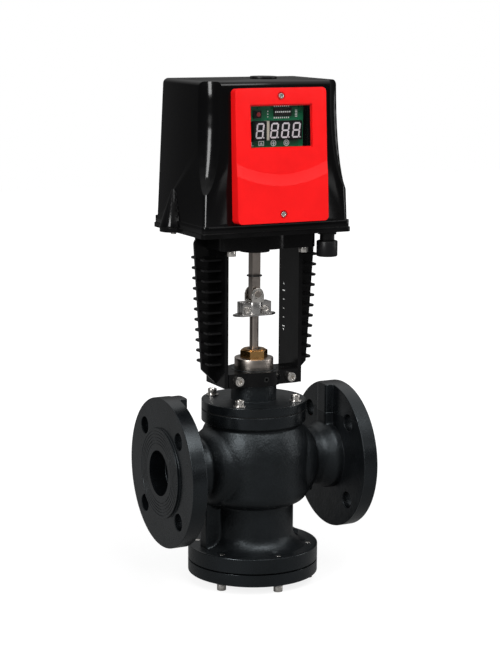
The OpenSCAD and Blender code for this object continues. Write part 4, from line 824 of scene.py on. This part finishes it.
def lower_neck():
    """Neck from the barrel to the bottom flange, with its wide fillet and the pockets over the screws."""
    foot, top, _ = BASE_FLANGE
    low, high = foot + LOWER_PLATE_SUNK, top + LOWER_PLATE_PROUD
    profile = round_corners(
        [
            (0, low),
            (LOWER_PLATE_RADIUS, low),
            (LOWER_PLATE_RADIUS, high),
            (LOWER_NECK_RADIUS, high),
            (LOWER_NECK_RADIUS, LOWER_NECK_TOP),
            (0, LOWER_NECK_TOP),
        ],
        [0, 0, LOWER_FILLET, 0],
        LOWER_FILLET_STEPS,
    )
    neck = spin("lower_neck", over_flow(profile))
    for place in base_screw_places(FLOW_Z + top + POCKET_RISE):
        combine(neck, rod("pocket", place, POCKET_RADIUS, POCKET_DEPTH), "DIFFERENCE")
    return neck


RIB_BACK = 0.0855
RIB_FRONT = 0.097
RIB_HALF = 0.0115
RIB_TOP = 0.09
RIB_TAPER = 0.87


def feeder_rib(side):
    """Upright rib on the back of a pipe flange, narrower at its free side."""
    low = (side * RIB_BACK, -RIB_HALF, FLOW_Z)
    high = (side * RIB_FRONT, RIB_HALF, FLOW_Z + RIB_TOP)
    rib = block("feeder_rib", low, high)
    open_edit(rib, "FACE")
    bpy.ops.mesh.select_all(action="DESELECT")
    bpy.ops.object.mode_set(mode="OBJECT")
    for face in rib.data.polygons:
        face.select = face.normal.x * side < FACING
    bpy.ops.object.mode_set(mode="EDIT")
    bpy.ops.transform.resize(value=(1, RIB_TAPER, 1), center_override=(0, 0, FLOW_Z))
    close_edit()
    return rib


WEB_HALF = 0.008
WEB_SUNK = 0.002
INLET_WEB = (-0.0615, -0.040)  # reach along the pipe, top
OUTLET_WEB = (0.054, -0.0821)  # reach along the pipe, top


def web(name, reach, top):
    """Upright web between the bottom flange and the barrel."""
    foot = FLOW_Z + BASE_FLANGE[1] - WEB_SUNK
    return block(name, (min(reach, 0), -WEB_HALF, foot), (max(reach, 0), WEB_HALF, FLOW_Z + top))


TRIM_RADIUS = (0.0823, 0.11)
TRIM_ALONG = (0.07, 0.1)


def rim_trimmer(side):
    """Takes off what stands past the rim of a pipe flange."""
    (inner, outer), (near, far) = TRIM_RADIUS, TRIM_ALONG
    profile = [(inner, near), (outer, near), (outer, far), (inner, far), (inner, near)]
    return spin("rim_trimmer", on_side(profile, side), "X", RIM_STEPS)


FLANGE_BACK = 0.095
FLANGE_FRONT = 0.112
FLANGE_FACE = 0.115
FLANGE_RADIUS = 0.08248
RAISED_RADIUS = 0.0495
RAISED_ROUND = 0.0006
GROOVED_RADIUS = 0.0475
GROOVED_ROUND = 0.0005
GROOVES = (0.0463, 0.0429, 0.0395, 0.0361, 0.0327)
GROOVE_HALF = 0.0004
GROOVE_DEPTH = 0.0005
GROOVE_FOOT_SHARE = 0.6

BOLTS = 4
BOLT_TURN = 45
BOLT_CIRCLE = 0.0625
BOLT_ALONG = 0.1035
BOLT_RADIUS = 0.0095
BOLT_LENGTH = 0.017
BOLT_EDGE = 0.0006


def flange_disc(side, edge):
    """Turned pipe flange with its raised face, sealing grooves and bolt holes."""
    outer = round_corners(
        [
            (0, FLANGE_BACK),
            (FLANGE_RADIUS, FLANGE_BACK),
            (FLANGE_RADIUS, FLANGE_FRONT),
            (RAISED_RADIUS, FLANGE_FRONT),
            (RAISED_RADIUS, FLANGE_FACE),
            (GROOVED_RADIUS, FLANGE_FACE),
        ],
        [edge, edge, RAISED_ROUND, GROOVED_ROUND],
        EDGE_STEPS,
    )
    groove = [(1, 0), (GROOVE_FOOT_SHARE, GROOVE_DEPTH), (-GROOVE_FOOT_SHARE, GROOVE_DEPTH), (-1, 0)]
    grooved = [(r + across * GROOVE_HALF, FLANGE_FACE - depth) for r in GROOVES for across, depth in groove]
    profile = outer + [Vector(point) for point in grooved] + [Vector((0.0, FLANGE_FACE))]
    disc = spin("flange_disc", on_side(profile, side), "X", RIM_STEPS)
    for i in range(BOLTS):
        turn = math.radians(BOLT_TURN + 360 / BOLTS * i)
        place = (side * BOLT_ALONG, BOLT_CIRCLE * math.cos(turn), FLOW_Z + BOLT_CIRCLE * math.sin(turn))
        combine(disc, bevelled_drill(place, BOLT_RADIUS, BOLT_LENGTH, "X", BOLT_EDGE), "DIFFERENCE")
    return disc


DRILL_OVER = 0.004


def bevelled_drill(place, radius, length, axis, edge):
    """A cutter for a through hole whose two mouths are broken."""
    half, wide = length / 2, radius + edge + DRILL_OVER
    points = [
        (0, -half - DRILL_OVER),
        (wide, -half - DRILL_OVER),
        (radius + edge, -half),
        (radius, -half + edge),
        (radius, half - edge),
        (radius + edge, half),
        (wide, half + DRILL_OVER),
        (0, half + DRILL_OVER),
    ]
    piece = new_piece("drill", [(r, 0, h) for r, h in points], chain(len(points)))
    turn_profile(piece, ROUND_STEPS, (0, 0, 0), (0, 0, 1))
    turn = Matrix.Rotation(math.pi / 2, 4, "Y") if axis == "X" else Matrix()
    piece.data.transform(Matrix.Translation(place) @ turn)
    return piece


def turned_flange(name, low, high, radius, edge):
    """Flange round the stem with rounded rims."""
    profile = round_corners(
        [(0, low), (radius, low), (radius, high), (0, high)], [edge, edge], EDGE_STEPS
    )
    return spin(name, over_flow(profile), steps=RIM_STEPS)


WALL = 0.004
PORT_RADIUS = 0.0275
PORT_LENGTH = 0.24
BORE_RADIUS = 0.0405
BORE_DEPTH = 0.19
BORE_MIDDLE = -0.02


def chambers():
    """What is hollow in the CAD body, cut from forms a wall inside the cast ones."""
    hollow, *parts = cast_core(WALL)
    parts.append(rod("ports", (0, 0, FLOW_Z), PORT_RADIUS, PORT_LENGTH, "X"))
    parts.append(rod("barrel_bore", (0, 0, FLOW_Z + BORE_MIDDLE), BORE_RADIUS, BORE_DEPTH))
    for part in parts:
        combine(hollow, part, "UNION")
    combine(hollow, copy_node("body_casting"), "DIFFERENCE")
    return hollow


class VALVE_OT_body(bpy.types.Operator):
    """Build the cast body: blended core, turned flanges and the chambers inside"""

    bl_idname = "valve.body"
    bl_label = "Cast body"

    def execute(self, context):
        settings = context.scene.valve_body
        core = cast_core()
        core += [pipe_neck(side) for side in SIDES]
        core += [feeder_rib(side) for side in SIDES]
        core += [lower_neck(), web("inlet_rib", *INLET_WEB), web("outlet_gusset", *OUTLET_WEB)]
        body = join("body_casting_dressed", core)
        apply_modifier(body, "REMESH", mode="VOXEL", voxel_size=settings.voxel)
        apply_modifier(body, "SMOOTH", factor=0.5, iterations=settings.blend_passes)
        edge = settings.rim_edge
        for side in SIDES:
            combine(body, rim_trimmer(side), "DIFFERENCE")
            combine(body, flange_disc(side, edge), "UNION")
        foot, top, _ = BASE_FLANGE
        bottom = turned_flange("base_flange", *BASE_FLANGE, edge)
        for place in base_screw_places(FLOW_Z + (foot + top) / 2):
            drill = bevelled_drill(place, BASE_HOLE_RADIUS, top - foot, "Z", BASE_HOLE_EDGE)
            combine(bottom, drill, "DIFFERENCE")
        combine(body, bottom, "UNION")
        combine(body, turned_flange("top_flange", *TOP_FLANGE, edge), "UNION")
        combine(body, chambers(), "DIFFERENCE")
        smooth_by_angle(body, 35)
        apply_modifier(body, "WEIGHTED_NORMAL", keep_sharp=True)
        dress(body, "cast", "body_casting")
        return {"FINISHED"}


# Rounded edges: widths in millimetres

SOFT_EDGES = {
    "yoke": 0.55,
    "clamp_cap": 0.8,
    "clamp_screws": 0.3,
    "head_screws": 0.3,
    "bonnet": 0.7,
    "bonnet_screws": 0.3,
    "bonnet_washers": 0.15,
    "bottom_cover": 0.7,
    "bottom_screws": 0.3,
    "bottom_washers": 0.15,
    "packing_housing": 0.5,
    "packing_nut": 0.12,
    "base_plate": 0.4,
    "cover": 0.8,
    "front_panel": 0.6,
    "panel_screws": 0.15,
    "gland_body": 0.4,
    "gland_nut": 2.0,
    "crank_cap": 0.4,
}

# Nodes with large flat faces, whose shading is taken from those faces
FLAT_FACED = (
    "front_panel",
    "base_plate",
    "yoke",
    "clamp_cap",
    "bonnet",
    "bottom_cover",
    "packing_nut",
)

SOFT_STEM_EDGES = {
    "coupling_front": 0.4,
    "coupling_rear": 0.4,
    "coupling_screws": 0.2,
    "clevis": 0.3,
    "clevis_pin": 0.3,
    "pointer_plate": 0.2,
    "drive_rod": 0.4,
    "rod_ring": 0.2,
}


class VALVE_OT_edges(bpy.types.Operator):
    """Round the edges of the machined and moulded parts"""

    bl_idname = "valve.edges"
    bl_label = "Rounded edges"

    def execute(self, context):
        for node, width in SOFT_EDGES.items():
            body = "crank_cap" if node == "crank_cap" else BODY
            soften(node, width, body)
        for node, width in SOFT_STEM_EDGES.items():
            soften(node, width, "stem")
        return {"FINISHED"}


# Displays, board print and travel scale


# The default look, silk, is print with a faint painted glow
def plates(name, outlines, place, depth, look="silk", turn=None):
    """Flat outlines of (across, up) points made into thin plates in front of a face, depth in millimetres."""
    points, faces = [], []
    for outline in outlines:
        start = len(points)
        points += [(across, 0, up) for across, up in outline]
        faces.append(tuple(range(start, len(points))))
    piece = new_piece(name, points, (), faces)
    open_edit(piece, "FACE")
    bpy.ops.mesh.normals_make_consistent(inside=False)
    bpy.ops.mesh.extrude_region_move(TRANSFORM_OT_translate={"value": (0, -depth * MM, 0)})
    bpy.ops.mesh.select_all(action="SELECT")
    bpy.ops.mesh.normals_make_consistent(inside=False)
    close_edit()
    piece.data.transform(Matrix.Translation(place) @ (turn or Matrix()))
    dress(piece, look, slot="display")


def bar(x0, z0, x1, z1, width):
    """A stroke between two points with pointed ends, as a display segment has."""
    start, end = Vector((x0, z0)), Vector((x1, z1))
    along = (end - start).normalized()
    side = Vector((-along.y, along.x)) * width / 2
    nib = along * width / 2
    return [start, start + nib + side, end - nib + side, end, end - nib - side, start + nib - side]


def box_outline(x0, z0, x1, z1):
    return [(x0, z0), (x1, z0), (x1, z1), (x0, z1)]


def ring_outlines(radius, width, count=12):
    """A circle drawn as short bars."""
    out = []
    for i in range(count):
        a, b = math.tau * i / count, math.tau * (i + 1) / count
        inner = radius - width
        out.append([
            (radius * math.cos(a), radius * math.sin(a)),
            (radius * math.cos(b), radius * math.sin(b)),
            (inner * math.cos(b), inner * math.sin(b)),
            (inner * math.cos(a), inner * math.sin(a)),
        ])
    return out


# Shares of a segment's width
SEGMENT_GAP = 0.12
DOT_SHIFT = 0.9
DOT_REACH = 0.45
DIGIT_SHIFT = 0.3
DOT_SIDES = 10


def digit_outlines(width, height, stroke, lean):
    """The seven slanted segments of an eight and its point, about the digit's middle."""
    half_w, half_h, gap = width / 2, height / 2, stroke * SEGMENT_GAP
    strokes = []
    for up in (-half_h, 0, half_h):
        strokes.append(bar(-half_w + gap, up, half_w - gap, up, stroke))
    for across in (-half_w, half_w):
        for low, high in ((-half_h, 0), (0, half_h)):
            strokes.append(bar(across, low + gap, across, high - gap, stroke))
    slanted = [[(x + z * lean, z) for x, z in outline] for outline in strokes]
    dot_x = half_w + stroke * DOT_SHIFT - half_h * lean
    reach = stroke * DOT_REACH
    turns = [math.tau * i / DOT_SIDES for i in range(DOT_SIDES)]
    slanted.append([(dot_x + reach * math.cos(turn), -half_h + reach * math.sin(turn)) for turn in turns])
    return slanted


# Places on the board: the chip from the right and top of the board's parts, the marks from the displays
CHIP_IN = 0.02
CHIP_DOWN = 0.009
PINS = 8
PIN_START = 0.0005
PIN_PITCH = 0.0024
PIN_WIDTH = 0.0013
PIN_HEIGHT = 0.0015
PIN_ROWS = ((-0.0024, 0), (0.0038, 0.003), (0.0098, 0))  # height, distance before the board
MARKS_UNDER = 0.0038
LINE = 0.0008
CIRCLE = 0.0034

MARKS_BELOW = {
    "mark_gate": (0.0125, [
        box_outline(-0.0033, -0.0026, 0.0033, -0.0018),
        box_outline(-0.0033, 0.0018, 0.0033, 0.0026),
        box_outline(-0.0033, -0.0018, -0.0025, 0.0018),
        box_outline(0.0025, -0.0018, 0.0033, 0.0018),
        [(-0.002, -0.0012), (0.002, -0.0012), (0, 0.0014)],
    ]),
    "mark_dial": (0.027, ring_outlines(CIRCLE, LINE) + [
        box_outline(-0.0005, -0.002, 0.0005, 0.002),
        box_outline(-0.0021, -0.0005, -0.0007, 0.0005),
        box_outline(0.0007, -0.0005, 0.0021, 0.0005),
    ]),
    "mark_wheel": (0.0425, ring_outlines(CIRCLE, LINE) + ring_outlines(0.0018, LINE, 8)),
    "mark_corner": (0.0005, [
        box_outline(0, -0.0025, LINE, 0.0015),
        box_outline(LINE, -0.0025, 0.003, -0.0019),
    ]),
}

DASHES = [box_outline(0, 0.0016 * i, 0.0026, 0.0016 * i + 0.0007) for i in range(5)]
DASHES_AT = (0.0345, 0.0235)
PLUS = [
    box_outline(-0.0002, -0.001, 0.0002, 0.001),
    box_outline(-0.001, -0.0002, -0.0002, 0.0002),
    box_outline(0.0002, -0.0002, 0.001, 0.0002),
]
PLUS_AT = (-0.0015, 0.027)
DOTS = [box_outline(0, 0.0028 * i, 0.001, 0.0028 * i + 0.001) for i in range(3)]
DOTS_AT = (0.0195, 0.0235)

# Thickness of the light segments, the pins and the print, in millimetres
SEGMENT_DEPTH = 0.12
PIN_DEPTH = 0.1
PRINT_DEPTH = 0.06


class VALVE_OT_displays(bpy.types.Operator):
    """Light segments on the two displays, and the chip's pins and the print on the board, all with a faint
    painted glow
    """

    bl_idname = "valve.displays"
    bl_label = "Displays and board"

    def execute(self, context):
        single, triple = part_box("single_display"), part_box("triple_display")
        self.digits(context.scene.valve_digit, single, triple)
        board_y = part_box("circuit_board")[0][1]
        self.pins(board_y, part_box("board_parts")[1])
        self.print_marks(board_y, single[0], triple[0])
        return {"FINISHED"}

    def digits(self, digit, single, triple):
        """An eight and its point on each of the four places."""
        outlines = digit_outlines(digit.width, digit.height, digit.stroke, math.tan(digit.lean))
        (left, front, foot), (right, _, top) = single
        start, end = triple[0][0], triple[1][0]
        third = (end - start) / 3
        places = [(left + right) / 2] + [start + third * (i + 0.5) for i in range(3)]
        for i, across in enumerate(places):
            place = (across - digit.stroke * DIGIT_SHIFT, front, (foot + top) / 2)
            plates(f"digit_{i + 1}", outlines, place, SEGMENT_DEPTH, look="segment")

    def pins(self, board_y, corner):
        """Solder pins in rows above and below the chip, and contacts on it."""
        outlines = []
        for i in range(PINS):
            start = PIN_START + PIN_PITCH * i
            outlines.append(box_outline(start, 0, start + PIN_WIDTH, PIN_HEIGHT))
        for row, (up, before) in enumerate(PIN_ROWS):
            place = (corner[0] - CHIP_IN, board_y - before, corner[2] - CHIP_DOWN + up)
            plates(f"chip_pins_{row + 1}", outlines, place, PIN_DEPTH)

    def print_marks(self, board_y, single, triple):
        """Generic symbols under the displays and small marks over them, from the displays' low corners."""
        left, foot = single[0], single[2]
        for name, (across, outlines) in MARKS_BELOW.items():
            plates(name, outlines, (left + across, board_y, foot - MARKS_UNDER), PRINT_DEPTH)
        for name, start, outlines, (across, up) in (
            ("mark_dashes", triple[0], DASHES, DASHES_AT),
            ("mark_plus", left, PLUS, PLUS_AT),
            ("mark_dots", left, DOTS, DOTS_AT),
        ):
            plates(name, outlines, (start + across, board_y, foot + up), PRINT_DEPTH)


SCALE_MARKS = 5
MARK_HALF = 0.0005
LONG_MARK = 0.0026
SHORT_MARK = 0.0014
ARROW_HALF = 0.0012
ARROW_FOOT = 0.001
ARROW_TIP = 0.0014
ARROW_OVER = 0.0078
ARROW_UNDER = 0.0037
SCALE_DEPTH = 0.08


class VALVE_OT_scale(bpy.types.Operator):
    """White travel marks on the inner face of the right leg"""

    bl_idname = "valve.scale"
    bl_label = "Travel scale"

    def execute(self, context):
        scale = context.scene.valve_scale
        outlines = []
        for i in range(SCALE_MARKS):
            up = scale.low + (scale.high - scale.low) * i / (SCALE_MARKS - 1)
            reach = LONG_MARK if i in (0, SCALE_MARKS - 1) else SHORT_MARK
            outlines.append(box_outline(-reach, up - MARK_HALF, reach, up + MARK_HALF))
        for up, way in ((scale.high + ARROW_OVER, 1), (scale.low - ARROW_UNDER, -1)):
            foot = up - ARROW_FOOT * way
            outlines.append([(-ARROW_HALF, foot), (ARROW_HALF, foot), (0, up + ARROW_TIP * way)])
        turn = Matrix.Rotation(math.radians(-90), 4, "Z")
        # The marks take the silk look, with its faint painted glow
        plates("travel_scale", outlines, (scale.face, scale.depth, FLOW_Z), SCALE_DEPTH, turn=turn)
        return {"FINISHED"}


# Studio


# Place, target, width and height of each soft box, in metres
KEY_BOX = ((-2.0, -1.05, 1.15), (0, 0, 0.3), 0.6, 0.9)
FILL_BOX = ((1.9, -0.8, 0.8), (0, 0, 0.3), 0.5, 1.4)
TOP_BOX = ((0.2, -1.3, 2.0), (0, 0, 0.35), 1.3, 1.0)
FRONT_BOX = ((0.99, -1.98, 0.80), (0, 0, 0.45), 0.9, 0.14)

SENSOR = 36  # millimetres
FAR_CLIP = 40
GLOW_FADE = (0.25, 0.9)  # distances from the middle between which the floor's glow grows
CEILING = (0.15, 0.9)  # heights of a direction between which a wall turns into the ceiling


def soft_box(name, place, target, width, height, watts):
    data = bpy.data.lights.new(name, "AREA")
    data.shape = "RECTANGLE"
    data.size = width
    data.size_y = height
    data.energy = watts
    lamp = bpy.data.objects.new(name, data)
    bpy.context.collection.objects.link(lamp)
    lamp.location = place
    lamp.rotation_euler = (Vector(target) - lamp.location).to_track_quat("-Z", "Y").to_euler()


def make_camera(view):
    """The photograph's view: turned about the stem, raised, and rolled a little."""
    back = Vector((
        math.sin(view.azimuth) * math.cos(view.elevation),
        -math.cos(view.azimuth) * math.cos(view.elevation),
        math.sin(view.elevation),
    ))
    right = Vector((math.cos(view.azimuth), math.sin(view.azimuth), 0))
    up = back.cross(right)
    side = right * math.cos(view.roll) + up * math.sin(view.roll)
    upward = up * math.cos(view.roll) - right * math.sin(view.roll)
    data = bpy.data.cameras.new("camera")
    data.lens = view.lens
    data.sensor_width = SENSOR
    data.clip_end = FAR_CLIP
    camera = bpy.data.objects.new("camera", data)
    bpy.context.collection.objects.link(camera)
    place = Vector((view.target_x, 0, view.target_z)) + back * view.distance
    camera.matrix_world = Matrix.Translation(place) @ Matrix((side, upward, back)).transposed().to_4x4()
    bpy.context.scene.camera = camera


def make_floor(studio):
    """A floor that glows white to the camera, most strongly away from the object."""
    half = studio.floor / 2
    corners = [(-half, -half, 0), (half, -half, 0), (half, half, 0), (-half, half, 0)]
    floor = new_piece("floor", corners, (), [(0, 1, 2, 3)])
    look = Look("floor_white", {"Base Color": studio.floor_white, "Roughness": 0.9, "Emission Strength": 1.0})
    camera = look.ray("Is Camera Ray")
    glossy = look.ray("Is Glossy Ray")
    through = look.ray("Is Transmission Ray")
    away = look.node("ShaderNodeVectorMath", {"operation": "LENGTH"}, {0: look.place}, output="Value")
    white = away.step(*GLOW_FADE) * (1.0 - studio.floor_glow) + studio.floor_glow
    seen = (camera + through + glossy * studio.floor_gloss) * white
    look.set("Emission Color", look.mix(seen, (0, 0, 0), (1, 1, 1)))
    look.bump(look.noise(40, 2, 0.5), 0.1)
    floor.data.materials.append(look.material)


def make_surroundings(studio):
    """White to the camera; in reflections a white ceiling over darker walls."""
    world = bpy.data.worlds.new("studio")
    world.use_nodes = True
    bpy.context.scene.world = world
    tree = Tree(world.node_tree)
    background = world.node_tree.nodes["Background"]
    direction = tree.node("ShaderNodeTexCoord", output="Generated")
    height = tree.node("ShaderNodeSeparateXYZ", inputs={0: direction}, output="Z")
    camera = tree.ray("Is Camera Ray")
    glossy = tree.ray("Is Glossy Ray")
    through = tree.ray("Is Transmission Ray")
    room = height.step(*CEILING) * (1.0 - studio.horizon) + studio.horizon
    strength = (camera + through) * (1.0 - studio.ambient) + studio.ambient + glossy * (room - studio.ambient)
    tree.put(background.inputs["Strength"], strength)
    background.inputs["Color"].default_value = (1, 1, 1, 1)


class VALVE_OT_stage(bpy.types.Operator):
    """Set the camera, the floor, the lamps and the surroundings"""

    bl_idname = "valve.stage"
    bl_label = "Studio"

    def execute(self, context):
        studio = context.scene.valve_studio
        make_camera(context.scene.valve_camera)
        make_floor(studio)
        make_surroundings(studio)
        soft_box("key_lamp", *KEY_BOX, studio.key)
        soft_box("fill_lamp", *FILL_BOX, studio.fill)
        soft_box("top_lamp", *TOP_BOX, studio.top)
        soft_box("front_lamp", *FRONT_BOX, studio.front)
        context.scene.view_settings.view_transform = "Standard"
        return {"FINISHED"}


class VALVE_PT_panel(bpy.types.Panel):
    """Builds the valve's pieces one group at a time"""

    bl_idname = "VALVE_PT_panel"
    bl_label = "Control valve"
    bl_space_type = "VIEW_3D"
    bl_region_type = "UI"
    bl_category = "Valve"

    def draw(self, context):
        for operator in OPERATORS:
            self.layout.operator(operator.bl_idname)


OPERATORS = (
    VALVE_OT_finishes,
    VALVE_OT_stage,
    VALVE_OT_body,
    VALVE_OT_edges,
    VALVE_OT_displays,
    VALVE_OT_scale,
)

SETTINGS = {
    "valve_body": ValveBodySettings,
    "valve_digit": ValveDigitSettings,
    "valve_scale": ValveScaleSettings,
    "valve_finish": ValveFinishSettings,
    "valve_camera": ValveCameraSettings,
    "valve_studio": ValveStudioSettings,
}


def register():
    for name, group in SETTINGS.items():
        bpy.utils.register_class(group)
        setattr(bpy.types.Scene, name, PointerProperty(type=group))
    for operator in OPERATORS:
        bpy.utils.register_class(operator)
    bpy.utils.register_class(VALVE_PT_panel)


def unregister():
    bpy.utils.unregister_class(VALVE_PT_panel)
    for operator in reversed(OPERATORS):
        bpy.utils.unregister_class(operator)
    for name, group in reversed(SETTINGS.items()):
        delattr(bpy.types.Scene, name)
        bpy.utils.unregister_class(group)


def main():
    register()
    bpy.ops.valve.finishes()
    bpy.ops.valve.stage()
    bpy.ops.valve.body()
    bpy.ops.valve.edges()
    bpy.ops.valve.displays()
    bpy.ops.valve.scale()


if __name__ == "__main__":
    main()
